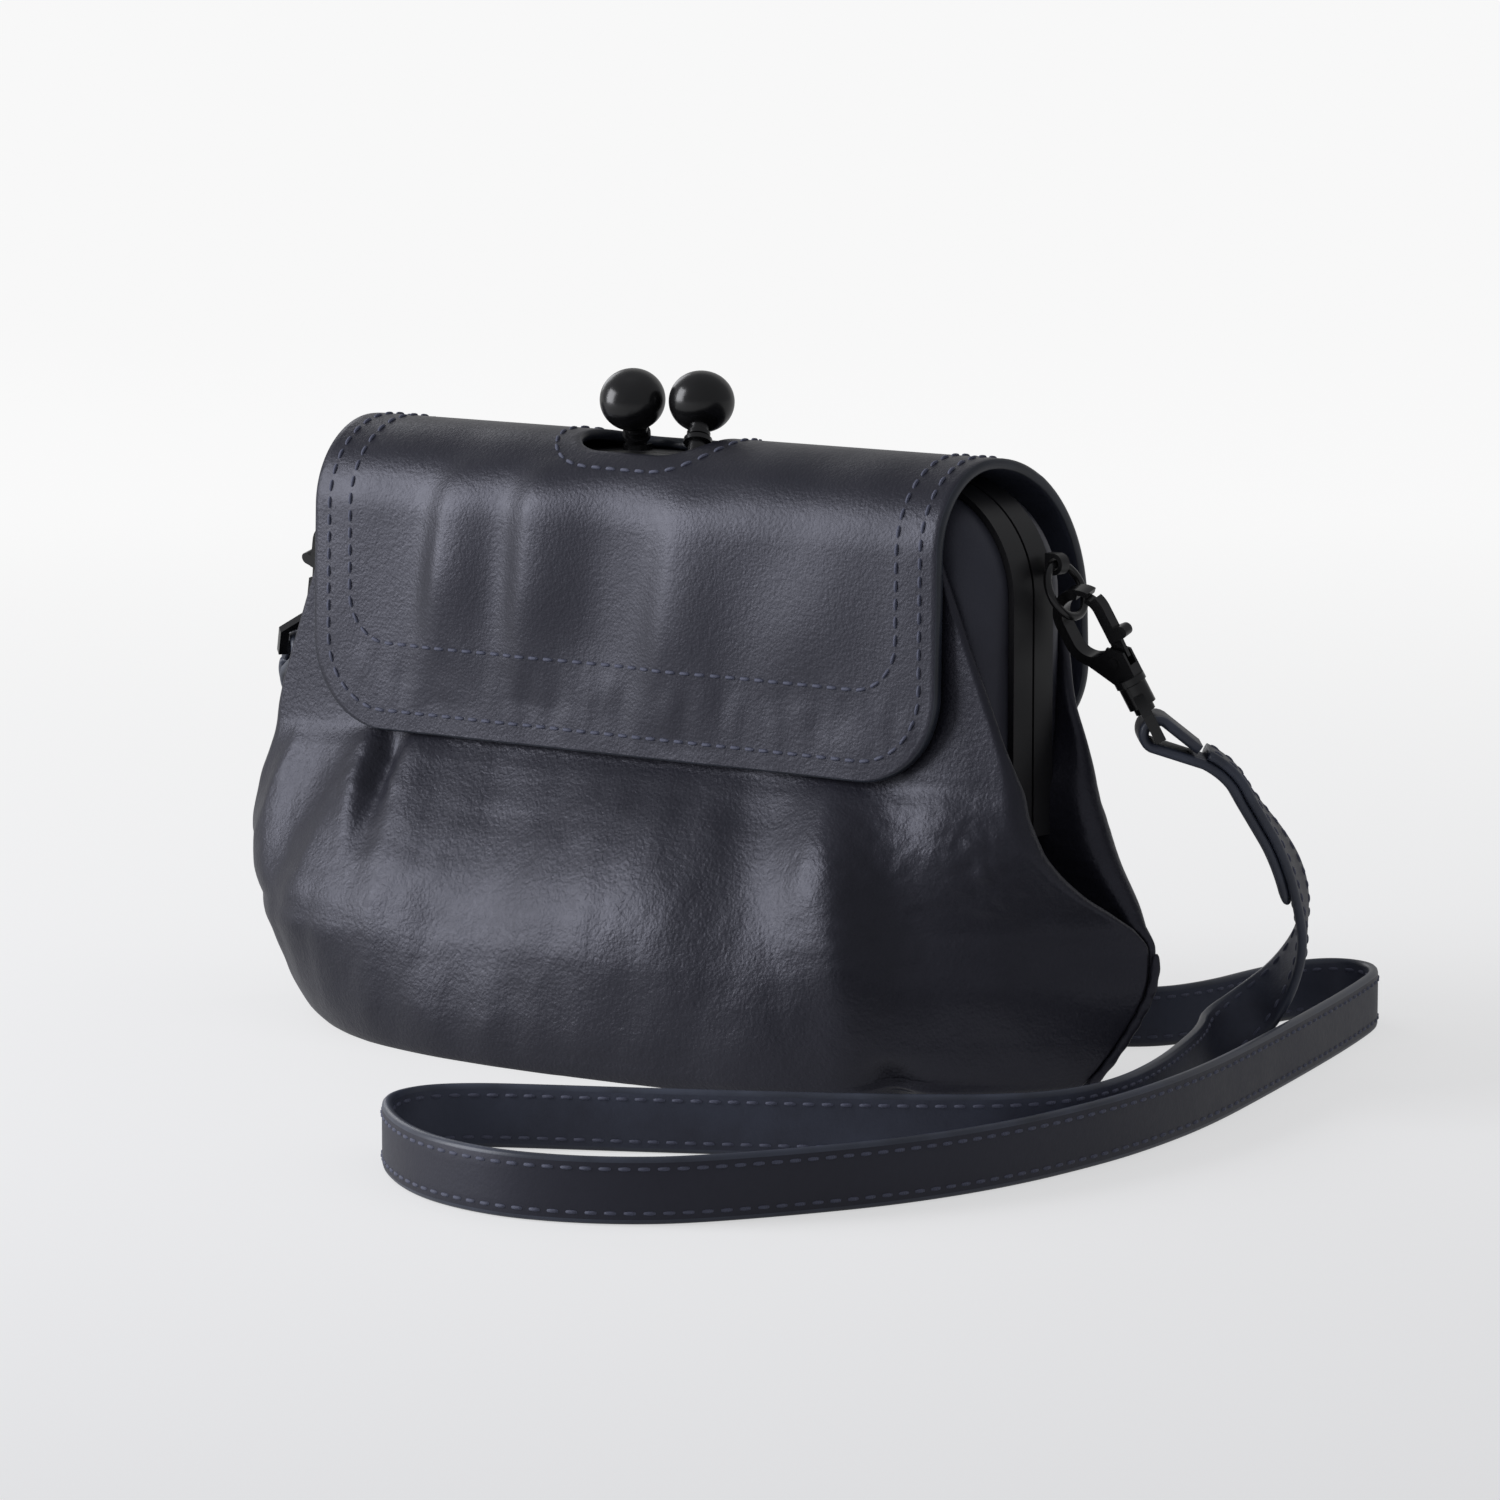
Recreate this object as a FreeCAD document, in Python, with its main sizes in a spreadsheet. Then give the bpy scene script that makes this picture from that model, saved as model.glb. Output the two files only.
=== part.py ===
"""Kiss lock frame purse: a soft leather pouch on a two-part hinged frame.

A flap lies over the frame and the two leaning ball studs stand through it.
A strap hangs on two snap hooks. Millimetres, X along the width, Y from front
to back, Z up, origin on the floor under the middle of the bag.
"""
import FreeCAD, Part
import math
import os
import Sketcher
from FreeCAD import Placement, Rotation, Vector

SIZES = {
    # frame halves: channels that meet at the parting plane
    "frame_width": 212.0,
    "frame_top": 147.0,
    "frame_corner": 28.0,
    "channel_height": 8.0,
    "channel_depth": 7.6,
    "channel_wall": 1.6,
    "channel_web": 2.0,
    "parting_gap": 0.8,
    "leg_end": 62.0,
    # hinge at the foot of each leg
    "hinge_height": 56.0,
    "ear_radius": 4.6,
    "ear_thickness": 2.4,
    "ear_lap": 6.0,
    "ear_neck": 5.4,
    "ear_gap": 0.2,
    "rivet_radius": 1.6,
    "rivet_head_radius": 3.2,
    "rivet_head": 1.0,
    "running_clearance": 0.05,
    # leather collars beside the channels
    "collar_reach": 19.4,
    "collar_shoulder": 10.0,
    "collar_thickness": 4.4,
    "collar_inset": 1.8,
    "collar_drop": 16.0,
    "collar_foot": 76.0,
    "collar_taper_top": 112.0,
    "collar_start": 2.6,
    # ball clasp
    "clasp_offset": -4.0,
    "stud_spacing": 25.0,
    "ball_spacing": 16.8,
    "ball_cross": 3.0,
    "ball_rise": 13.0,
    "ball_width": 16.2,
    "ball_length": 14.2,
    "stud_base_radius": 3.6,
    "stud_base_height": 1.4,
    "stud_post_radius": 2.3,
    "stud_collar_radius": 3.5,
    "stud_collar_height": 1.2,
    # flap
    "flap_width": 192.0,
    "flap_thickness": 2.6,
    "flap_rise": 5.0,
    "flap_crest_place": -3.5,
    "flap_front_radius": 22.0,
    "flap_back_radius": 40.0,
    "flap_hem": 76.0,
    "flap_hem_reach": 26.6,
    "flap_corner": 22.0,
    "flap_hinge_place": 16.0,
    "flap_slit": 0.3,
    "back_bend_reach": 36.5,
    "back_bend_drop": 40.0,
    "back_hem_reach": 38.0,
    "back_hem": 78.0,
    "opening_width": 41.4,
    "opening_front": 15.5,
    "opening_back": 9.5,
    "opening_corner": 12.0,
    # pouch
    "pouch_width": 256.0,
    "pouch_depth": 98.0,
    "pouch_top": 134.0,
    "leather": 2.2,
    "gusset_leather": 1.4,
    "lining_cloth": 0.8,
    "soft_gap": 0.4,
    "seam_gap": 0.3,
    "welt_radius": 1.3,
    "welt_top": 35.0,
    "board_thickness": 1.8,
    "board_margin": 8.0,
    # rings on the rear half
    "ring_radius": 6.6,
    "ring_wire": 1.0,
    "ring_tilt": 24.0,
    "ring_rise": 8.0,
    "ring_place": 6.0,
    "lug_reach": 2.4,
    "lug_radius": 2.6,
    "lug_thickness": 3.2,
    "lug_hole": 1.5,
    # snap hooks, built upright with the claw above the swivel
    "hook_turn": 38.0,
    "claw_aside": 3.6,
    "claw_low": 17.0,
    "claw_high": 22.0,
    "claw_outer": 7.4,
    "claw_inner": 4.9,
    "nose_inner": 6.0,
    "hook_thickness": 4.0,
    "neck_half": 3.2,
    "neck_foot": 4.2,
    "gate_aside": 0.6,
    "gate_height": 9.2,
    "gate_outer": 7.2,
    "gate_inner": 4.3,
    "gate_tip": 5.6,
    "gate_heel": 2.4,
    "gate_thickness": 1.2,
    "gate_arm_thickness": 3.0,
    "gate_arm_foot": 13.8,
    "gate_slot": 2.6,
    "gate_slot_radius": 4.3,
    "gate_pin_radius": 0.8,
    "gate_pin_head": 1.3,
    "gate_pin_head_height": 0.5,
    "spring_radius": 1.3,
    "spring_wire": 0.25,
    "thumb_radius": 1.5,
    "thumb_height": 15.4,
    "thumb_reach": 6.6,
    "stem_radius": 1.5,
    "swivel_collar_radius": 3.8,
    "swivel_collar_foot": 2.8,
    "swivel_head_radius": 2.5,
    "swivel_head_height": 1.4,
    "hub_radius": 3.4,
    "hub_top": 2.6,
    "hub_foot": 3.0,
    "swivel_gap": 0.2,
    "eye_bar_drop": 10.0,
    "eye_bar": 2.6,
    "eye_window": 15.8,
    "eye_side": 2.3,
    "eye_shoulder_drop": 4.4,
    "eye_neck": 4.2,
    # strap
    "strap_width": 15.0,
    "strap_thickness": 2.4,
    "strap_bar_clearance": 0.35,
    "strap_fold": 13.0,
    "strap_fold_inner": 10.0,
    # how far a cutting shape runs past the face it cuts
    "overrun": 2.0,
}

doc = FreeCAD.newDocument("purse")
sheet = doc.addObject("Spreadsheet::Sheet", "sizes")
for row, (name, value) in enumerate(SIZES.items(), start=1):
    sheet.set("A%d" % row, name)
    sheet.set("B%d" % row, str(value))
    sheet.setAlias("B%d" % row, name)
doc.recompute()


class Size:
    """A length that keeps its value together with the sheet formula behind it."""

    def __init__(self, value, text):
        self.value = value
        self.text = text

    def __float__(self):
        return self.value

    def __neg__(self):
        return Size(-self.value, "(-%s)" % self.text)

    def __add__(self, other):
        other = as_size(other)
        return Size(self.value + other.value, "(%s + %s)" % (self.text, other.text))

    def __sub__(self, other):
        other = as_size(other)
        return Size(self.value - other.value, "(%s - %s)" % (self.text, other.text))

    def __mul__(self, factor):
        factor = as_size(factor)
        return Size(self.value * factor.value, "(%s * %s)" % (self.text, factor.text))

    def __truediv__(self, factor):
        factor = as_size(factor)
        return Size(self.value / factor.value, "(%s / %s)" % (self.text, factor.text))

    __radd__ = __add__
    __rmul__ = __mul__

    def __rsub__(self, other):
        return as_size(other) - self


def as_size(value):
    if isinstance(value, Size):
        return value
    return Size(float(value), "(%.6f)" % float(value))


class Sheet:
    """Reads a size from the sheet by name."""

    def __getattr__(self, name):
        return Size(float(sheet.get(name)), "sizes.%s" % name)


s = Sheet()


def drive(target, path, value):
    """Ties one property to the sheet."""
    target.setExpression(path, as_size(value).text)


def polar(radius, degrees, height, aside):
    """A point at an angle on a circle round (aside, height)."""
    angle = math.radians(degrees)
    return radius * math.cos(angle) + aside, radius * math.sin(angle) + height


def body(label):
    return doc.addObject("PartDesign::Body", label)


def sketch(owner, role, offset=None):
    """A sketch on one of the body's own planes, moved along its normal."""
    made = owner.newObject("Sketcher::SketchObject", owner.Label + "_sketch")
    plane = [item for item in owner.Origin.OriginFeatures if item.Role == role][0]
    made.AttachmentSupport = [(plane, "")]
    made.MapMode = "FlatFace"
    if offset is not None:
        drive(made, "AttachmentOffset.Base.z", offset)
    return made


def place_vertex(target, tag, geometry, end, u, v):
    for axis, value in (("X", as_size(u)), ("Y", as_size(v))):
        index = target.addConstraint(
            Sketcher.Constraint("Distance" + axis, -1, 1, geometry, end, value.value))
        target.renameConstraint(index, tag + axis)
        drive(target, "Constraints." + tag + axis, value)


def arc_between(start, end, radius, turn):
    """The shorter arc from start to end, turning left (+1) or right (-1)."""
    chord = end - start
    middle = (start + end) * 0.5
    left = Vector(-chord.y, chord.x, 0).normalize()
    rise = math.sqrt(max(radius * radius - chord.Length * chord.Length / 4, 0))
    centre = middle + left * (rise * turn)
    first = math.atan2(start.y - centre.y, start.x - centre.x)
    last = math.atan2(end.y - centre.y, end.x - centre.x)
    if turn < 0:
        first, last = last, first
    circle = Part.Circle(centre, Vector(0, 0, 1), radius)
    return Part.ArcOfCircle(circle, first, last)


def draw(target, outline, closed=True):
    """Draws lines and arcs; a vertex with a radius and a turn starts an arc."""
    spots = [Vector(float(item[0]), float(item[1]), 0) for item in outline]
    count = len(outline) if closed else len(outline) - 1
    tag = "o%d_" % target.GeometryCount
    ends = []
    for index in range(count):
        start = spots[index]
        end = spots[(index + 1) % len(spots)]
        if len(outline[index]) == 4:
            radius, turn = outline[index][2:]
            number = target.addGeometry(arc_between(start, end, float(radius), turn), False)
            ends.append((number, 1, 2) if turn > 0 else (number, 2, 1))
        else:
            number = target.addGeometry(Part.LineSegment(start, end), False)
            ends.append((number, 1, 2))
    for index in range(count if closed else count - 1):
        here = ends[index]
        following = ends[(index + 1) % count]
        target.addConstraint(
            Sketcher.Constraint("Coincident", here[0], here[2], following[0], following[1]))
    for index, item in enumerate(outline):
        if index < count:
            place_vertex(target, "%s%d" % (tag, index), ends[index][0], ends[index][1], *item[:2])
        else:
            place_vertex(target, "%s%d" % (tag, index), ends[-1][0], ends[-1][2], *item[:2])
    for index in range(count):
        if len(outline[index]) == 4:
            radius = as_size(outline[index][2])
            number = target.addConstraint(
                Sketcher.Constraint("Radius", ends[index][0], radius.value))
            target.renameConstraint(number, "%s%dR" % (tag, index))
            drive(target, "Constraints.%s%dR" % (tag, index), radius)


def draw_circle(target, u, v, radius):
    radius = as_size(radius)
    middle = Vector(float(u), float(v), 0)
    tag = "c%d_" % target.GeometryCount
    number = target.addGeometry(Part.Circle(middle, Vector(0, 0, 1), radius.value), False)
    place_vertex(target, tag, number, 3, u, v)
    index = target.addConstraint(Sketcher.Constraint("Radius", number, radius.value))
    target.renameConstraint(index, tag + "R")
    drive(target, "Constraints.%sR" % tag, radius)


def extrude(owner, profile, length, kind="Pad", symmetric=False, backwards=False):
    """Pads or pockets a sketch."""
    made = owner.newObject("PartDesign::" + kind, owner.Label + "_" + kind.lower())
    made.Profile = profile
    drive(made, "Length", length)
    made.Midplane = symmetric
    made.Reversed = backwards
    profile.Visibility = False
    owner.Tip = made
    doc.recompute()
    return made


def revolve(owner, profile, axis):
    made = owner.newObject("PartDesign::Revolution", owner.Label + "_revolution")
    made.Profile = profile
    made.ReferenceAxis = (profile, [axis])
    made.Angle = 360
    owner.Tip = made
    doc.recompute()
    return made


def solid(label, shape):
    made = doc.addObject("Part::Feature", label)
    made.Shape = shape
    return made


# Frame halves

half = s.frame_width / 2
half_gap = s.parting_gap / 2


def arch(side, top, corner, foot, band):
    """Outline of an upside-down U of even width."""
    inner = side - band
    inner_top = top - band
    inner_corner = corner - band
    return [
        (-side, foot), (-side, top - corner, corner, -1), (corner - side, top),
        (side - corner, top, corner, -1), (side, top - corner), (side, foot),
        (inner, foot), (inner, top - corner, inner_corner, 1), (side - corner, inner_top),
        (corner - side, inner_top, inner_corner, 1), (-inner, top - corner), (-inner, foot)]


def frame_half(label, facing, ear_place):
    """One channel; facing is -1 for the front half and +1 for the rear one."""
    made = body(label)
    rear = facing > 0
    outline = sketch(made, "XZ_Plane", half_gap * -facing)
    draw(outline, arch(half, s.frame_top, s.frame_corner, s.leg_end, s.channel_height))
    extrude(made, outline, s.channel_depth, backwards=rear)
    for side in (-1, 1):
        ear_start = ear_place * side if side > 0 else -ear_place - s.ear_thickness
        disc = sketch(made, "YZ_Plane", ear_start)
        draw_circle(disc, 0, s.hinge_height, s.ear_radius)
        extrude(made, disc, s.ear_thickness)
        neck = sketch(made, "YZ_Plane", ear_start)
        lap = s.leg_end + s.ear_lap
        inside = half_gap * facing
        outside = s.ear_neck * facing
        root = s.ear_radius * (0.8 * facing)
        draw(neck, [(inside, lap), (outside, lap), (root, s.hinge_height), (inside, s.hinge_height)])
        extrude(made, neck, s.ear_thickness)
    slot_face = (half_gap + s.channel_depth) * -facing
    slot = sketch(made, "XZ_Plane", slot_face)
    wall = s.channel_wall
    lap = s.leg_end + s.ear_lap
    draw(slot, arch(half - wall, s.frame_top - wall, s.frame_corner - wall, lap,
                    s.channel_height - wall * 2))
    extrude(made, slot, s.channel_depth - s.channel_web, "Pocket", backwards=rear)
    hole = sketch(made, "YZ_Plane")
    draw_circle(hole, 0, s.hinge_height, s.rivet_radius + s.running_clearance)
    extrude(made, hole, s.frame_width + s.overrun, "Pocket", symmetric=True)
    return made


outer_ear = half - s.ear_thickness
inner_ear = outer_ear - s.ear_gap - s.ear_thickness
frame_half("front_frame", -1, outer_ear)
frame_half("rear_frame", 1, inner_ear)


def hinge_rivet(label, side):
    made = body(label)
    profile = sketch(made, "XZ_Plane")
    inner = inner_ear - s.running_clearance
    outer = half + s.running_clearance
    head = s.rivet_head_radius
    draw(profile, [
        (inner - s.rivet_head, 0), (inner - s.rivet_head, head), (inner, head),
        (inner, s.rivet_radius), (outer, s.rivet_radius), (outer, head),
        (outer + s.rivet_head, head), (outer + s.rivet_head, 0)])
    revolve(made, profile, "H_Axis")
    if side < 0:
        made.Placement = Placement(Vector(), Rotation(Vector(0, 0, 1), 180))
    drive(made, "Placement.Base.z", s.hinge_height)
    doc.recompute()


hinge_rivet("right_hinge_rivet", 1)
hinge_rivet("left_hinge_rivet", -1)


# Collars: a padded band swept along the channel, tapered out at the feet

def collar(label, facing):
    made = body(label)
    spine = sketch(made, "XZ_Plane")
    corner = s.frame_corner
    draw(spine, [
        (-half, s.collar_foot), (-half, s.frame_top - corner, corner, -1),
        (corner - half, s.frame_top), (half - corner, s.frame_top, corner, -1),
        (half, s.frame_top - corner), (half, s.collar_foot)], closed=False)
    profile = sketch(made, "XY_Plane", s.collar_foot)
    reach = s.collar_reach * facing
    bend = (s.collar_reach - s.collar_shoulder) * facing
    start = s.collar_start * facing
    inner_reach = (s.collar_reach - s.collar_thickness) * facing
    top = s.collar_inset - half
    under = top + s.collar_thickness
    turn = -facing
    draw(profile, [
        (top, start), (top, bend, s.collar_shoulder, turn), (top + s.collar_shoulder, reach),
        (s.collar_drop - half, reach), (s.collar_drop - half, inner_reach),
        (top + s.collar_shoulder, inner_reach, s.collar_shoulder - s.collar_thickness, -turn),
        (under, bend), (under, start)])
    pipe = made.newObject("PartDesign::AdditivePipe", label + "_pipe")
    pipe.Profile = profile
    pipe.Spine = (spine, [])
    made.Tip = pipe
    doc.recompute()
    taper = sketch(made, "YZ_Plane")
    below = s.collar_foot - s.overrun
    beyond = (s.collar_reach + s.overrun) * facing
    draw(taper, [(bend, below), (beyond, below), (beyond, s.collar_taper_top),
                 (reach, s.collar_taper_top), (bend, s.collar_foot)])
    extrude(made, taper, s.frame_width + s.overrun, "Pocket", symmetric=True)


collar("front_collar", -1)
collar("rear_collar", 1)


# Ball clasp: each stud leans across the parting plane

def ball_stud(label, side, facing):
    """side is the stud's place along X, facing its frame half."""
    middle = half_gap + s.channel_depth / 2
    foot_x = s.clasp_offset + s.stud_spacing * (side * 0.5)
    foot_y = middle * facing
    foot_top = s.frame_top + s.stud_base_height
    base = body(label + "_base")
    ring = sketch(base, "XY_Plane", s.frame_top)
    draw_circle(ring, foot_x, foot_y, s.stud_base_radius)
    extrude(base, ring, s.stud_base_height)
    foot = Vector(float(foot_x), float(foot_y), float(foot_top))
    ball = Vector(float(s.clasp_offset + s.ball_spacing * (side * 0.5)),
                  float(s.ball_cross) * -facing, float(s.frame_top + s.ball_rise))
    lean = Rotation(Vector(0, 0, 1), ball - foot)
    length = (ball - foot).Length
    post = body(label + "_post")
    profile = sketch(post, "XZ_Plane")
    step = s.stud_collar_height
    neck = s.stud_post_radius
    wide = s.stud_collar_radius
    narrow = (neck + wide) / 2
    round_end = s.ball_length / 2
    pole = (s.ball_width - s.ball_length) / 2
    aside = float(neck - pole) / float(round_end)
    drop = math.sqrt(1 - aside * aside)
    draw(profile, [
        (0, -step * 2), (neck, -step * 2), (neck, step * 2), (wide, step * 2), (wide, step * 3),
        (neck, step * 3), (neck, step * 3.6), (narrow, step * 3.6), (narrow, step * 4.5),
        (neck, step * 4.5), (neck, length - round_end * drop, round_end, 1),
        (s.ball_width / 2, length, round_end, 1), (pole, length + round_end),
        (0, length + round_end)])
    revolve(post, profile, "V_Axis")
    post.Placement = Placement(foot, lean)
    floor = doc.addObject("Part::Cylinder", label + "_floor")
    drive(floor, "Radius", s.stud_base_radius * 2)
    drive(floor, "Height", s.stud_base_radius * 2)
    floor.Placement = Placement(foot - Vector(0, 0, float(s.stud_base_radius * 2)), Rotation())
    made = doc.addObject("Part::Cut", label)
    made.Base = post
    made.Tool = floor
    doc.recompute()


ball_stud("front_ball_stud", 1, -1)
ball_stud("rear_ball_stud", -1, 1)


# Flap: drapes from the back over the studs to the front

flap_crest = s.frame_top + s.flap_rise


def flap():
    made = body("flap")
    profile = sketch(made, "YZ_Plane")
    crest_y = s.flap_crest_place
    thick = s.flap_thickness
    front = s.flap_front_radius
    rear = s.flap_back_radius
    span = s.flap_hinge_place - crest_y
    lean = float(span) / float(rear)
    hinge_drop = rear * (1 - math.sqrt(1 - lean * lean))
    hinge_z = flap_crest - hinge_drop
    inner_y = s.flap_hinge_place - thick * lean
    inner_z = hinge_z - thick * math.sqrt(1 - lean * lean)
    draw(profile, [
        (s.flap_hinge_place, hinge_z, rear, 1), (crest_y, flap_crest, front, 1),
        (crest_y - front, flap_crest - front), (-s.flap_hem_reach, s.flap_hem),
        (thick - s.flap_hem_reach, s.flap_hem), (crest_y - front + thick, flap_crest - front,
                                                 front - thick, -1),
        (crest_y, flap_crest - thick, rear - thick, -1), (inner_y, inner_z)])
    extrude(made, profile, s.flap_width, symmetric=True)
    corners = sketch(made, "XZ_Plane")
    edge = s.flap_width / 2
    for side in (-1, 1):
        outside = (edge + s.overrun) * side
        draw(corners, [
            (outside, s.flap_hem - s.overrun), (outside, s.flap_hem + s.flap_corner),
            (edge * side, s.flap_hem + s.flap_corner, s.flap_corner, -side),
            ((edge - s.flap_corner) * side, s.flap_hem),
            ((edge - s.flap_corner) * side, s.flap_hem - s.overrun)])
    extrude(made, corners, s.flap_width, "Pocket", symmetric=True)
    opening = sketch(made, "XY_Plane")
    reach = s.opening_width / 2
    bend = s.opening_corner
    left = s.clasp_offset - reach
    right = s.clasp_offset + reach
    front_edge = -s.opening_front
    back_edge = s.opening_back
    draw(opening, [
        (left + bend, front_edge), (right - bend, front_edge, bend, 1),
        (right, front_edge + bend), (right, back_edge - bend, bend, 1),
        (right - bend, back_edge), (left + bend, back_edge, bend, 1),
        (left, back_edge - bend), (left, front_edge + bend, bend, 1)])
    extrude(made, opening, flap_crest * 2 + s.overrun, "Pocket", symmetric=True)
    return hinge_z


flap_hinge_height = flap()


def flap_back():
    """The part of the flap that is sewn to the back panel."""
    made = body("flap_back")
    profile = sketch(made, "YZ_Plane")
    thick = s.flap_thickness
    lean = float(s.flap_hinge_place - s.flap_crest_place) / float(s.flap_back_radius)
    bend_z = flap_crest - s.back_bend_drop
    rise = math.sqrt(1 - lean * lean)
    start_y = s.flap_hinge_place + s.flap_slit
    start_z = flap_hinge_height - s.flap_slit * (lean / rise)
    bend = s.flap_back_radius
    draw(profile, [
        (start_y, start_z), (start_y - thick * lean, start_z - thick * rise, bend - thick, -1),
        (s.back_bend_reach - thick, bend_z), (s.back_hem_reach - thick, s.back_hem),
        (s.back_hem_reach, s.back_hem), (s.back_bend_reach, bend_z, bend, 1)])
    extrude(made, profile, s.flap_width, symmetric=True)
    corners = sketch(made, "XZ_Plane")
    edge = s.flap_width / 2
    for side in (-1, 1):
        outside = (edge + s.overrun) * side
        draw(corners, [
            (outside, s.back_hem - s.overrun), (outside, s.back_hem + s.flap_corner),
            (edge * side, s.back_hem + s.flap_corner, s.flap_corner, -side),
            ((edge - s.flap_corner) * side, s.back_hem),
            ((edge - s.flap_corner) * side, s.back_hem - s.overrun)])
    extrude(made, corners, s.flap_width, "Pocket", symmetric=True)


flap_back()


# Pouch panels below the flap's hem: height over the top, front and back depth over the half
# depth, side over the half width, side depth over the half depth, roundness of the plan
BODY_SHARES = [
    (0.000, 0.930, 0.775, 0.895, 0.000, 4.0),
    (0.030, 0.970, 0.870, 0.940, 0.000, 4.0),
    (0.104, 0.995, 0.960, 0.977, 0.000, 4.0),
    (0.209, 1.000, 1.000, 1.000, 0.000, 4.0),
    (0.269, 0.980, 0.985, 0.996, 0.000, 4.0),
    (0.299, 0.950, 0.960, 0.984, 0.163, 4.0),
    (0.328, 0.915, 0.930, 0.973, 0.327, 4.0),
    (0.373, 0.845, 0.880, 0.957, 0.449, 4.0),
    (0.448, 0.710, 0.815, 0.934, 0.459, 4.0),
    (0.522, 0.555, 0.745, 0.910, 0.439, 4.0),
]
# Panels at the mouth, where the frame holds them: depths over the collar's reach, side over the
# frame's half width
MOUTH_SHARES = [
    (0.567, 1.196, 1.778, 1.085, 1.073, 4.0),
    (0.672, 1.149, 1.624, 1.037, 1.077, 4.0),
    (0.821, 1.139, 1.402, 0.962, 1.123, 4.0),
    (1.000, 1.139, 1.139, 0.868, 1.123, 4.0),
]
PLAN_SHARES = (-1.0, -0.93, -0.8, -0.55, 0.0, 0.55, 0.8, 0.93, 1.0)

top = float(s.pouch_top)
deep = float(s.pouch_depth / 2)
wide = float(s.pouch_width / 2)
mouth_deep = float(s.collar_reach)
mouth_wide = float(half)
leather = float(s.leather)
gap = float(s.soft_gap)
POUCH_ROWS = [(h * top, f * deep, b * deep, w * wide, e * deep, n) for h, f, b, w, e, n in BODY_SHARES]
POUCH_ROWS += [(h * top, f * mouth_deep, b * mouth_deep, w * mouth_wide, e * mouth_deep, n)
               for h, f, b, w, e, n in MOUTH_SHARES]
# Depth of the side fold, as a share of the half depth, from which the edge is turned in fully
FOLD_SHARE = 0.327


def across(shares):
    """A length from shares of the pouch's and the frame's half width."""
    return shares[0] * wide + shares[1] * mouth_wide


def inward(shares):
    """A length from shares of the pouch's half depth and the collar's reach."""
    return shares[0] * deep + shares[1] * mouth_deep


def plan_curve(side, depth, end, roundness, z, facing):
    """A rounded plan line from one side to the other."""
    points = []
    for share in PLAN_SHARES:
        fill = 1 - abs(share) ** roundness
        points.append(Vector(side * share, (end + (depth - end) * fill) * facing, z))
    curve = Part.BSplineCurve()
    curve.interpolate(Points=points, Parameters=[share + 1 for share in PLAN_SHARES])
    return curve.toShape(), points[0], points[-1]


def ring_wire(first, second):
    """Closes two plan lines into one wire."""
    edge_a, start_a, end_a = first
    edge_b, start_b, end_b = second
    return Part.Wire([edge_a, Part.LineSegment(end_a, end_b).toShape(), edge_b,
                      Part.LineSegment(start_b, start_a).toShape()])


def panel(label, column, facing):
    sections = []
    seam = float(s.seam_gap)
    for row in POUCH_ROWS:
        z, side, end, roundness = row[0], row[3], row[4] + seam, row[5]
        depth = row[column]
        folded = min(row[4] / (FOLD_SHARE * deep), 1)
        inner_side = side - leather * (1 - folded)
        inner_end = max(end - leather * folded, seam)
        outer = plan_curve(side, depth, end, roundness, z, facing)
        inner = plan_curve(inner_side, depth - leather, inner_end, roundness, z, facing)
        sections.append(ring_wire(outer, inner))
    return solid(label, Part.makeLoft(sections, True, True))


panel("pouch_front", 1, -1)
panel("pouch_back", 2, 1)


def pouch_base():
    """Flat plate that closes the bottom between the panels, and the stiff board on it."""
    low = POUCH_ROWS[0]
    seam = float(s.seam_gap)
    for label, inset, foot, thick in (
            ("pouch_base", leather + gap, 0, leather),
            ("base_board", float(s.board_margin), leather + gap / 2, float(s.board_thickness))):
        side = low[3] - inset
        front = plan_curve(side, low[1] - inset, seam, low[5], foot, -1)
        back = plan_curve(side, low[2] - inset, seam, low[5], foot, 1)
        face = Part.Face(ring_wire(front, back))
        solid(label, face.extrude(Vector(0, 0, thick)))


pouch_base()

# Side gussets: height over the pouch top; fold, middle and corner of the V across, then depth of
# fold and middle, each as a pair of shares of the pouch and of the frame
GUSSET_SHARES = [
    (0.310, (0.972, 0), (0.938, 0), (0.914, 0), (0.184, 0), (0.082, 0)),
    (0.336, (0.962, 0), (0.883, 0), (0.844, 0), (0.289, 0), (0.163, 0)),
    (0.388, (0.948, 0), (0, 0.972), (0, 0.887), (0.404, 0), (0.265, 0)),
    (0.448, (0.929, 0), (0, 0.943), (0, 0.849), (0.410, 0), (0.276, 0)),
    (0.556, (0.224, 0.812), (0, 0.925), (0, 0.849), (0.095, 0.721), (0.069, 0.527)),
]


def folded_solid(rings):
    """A solid of flat facets between rings whose two halves are the two faces of a sheet."""
    count = len(rings[0])
    faces = [Part.Face(Part.makePolygon(ring + [ring[0]])) for ring in (rings[0], rings[-1])]
    for low, high in zip(rings, rings[1:]):
        for index in range(count):
            following = (index + 1) % count
            first, last = (index, following) if index < count / 2 else (following, index)
            for corners in ((low[first], low[last], high[last]),
                            (low[first], high[last], high[first])):
                faces.append(Part.Face(Part.makePolygon(list(corners) + [corners[0]])))
    made = Part.Solid(Part.Shell(faces))
    return made if made.Volume > 0 else made.reversed()


def gusset(label, side):
    rings = []
    thick = float(s.gusset_leather)
    for height, fold, middle, corner, fold_depth, middle_depth in GUSSET_SHARES:
        line = [(across(fold), inward(fold_depth)), (across(middle), inward(middle_depth)),
                (across(corner), 0), (across(middle), -inward(middle_depth)),
                (across(fold), -inward(fold_depth))]
        ring = [Vector(x * side, y, height * top) for x, y in line]
        ring += [Vector((x - thick) * side, y, height * top) for x, y in reversed(line)]
        rings.append(ring)
    solid(label, folded_solid(rings))


gusset("right_gusset", 1)
gusset("left_gusset", -1)


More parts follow.
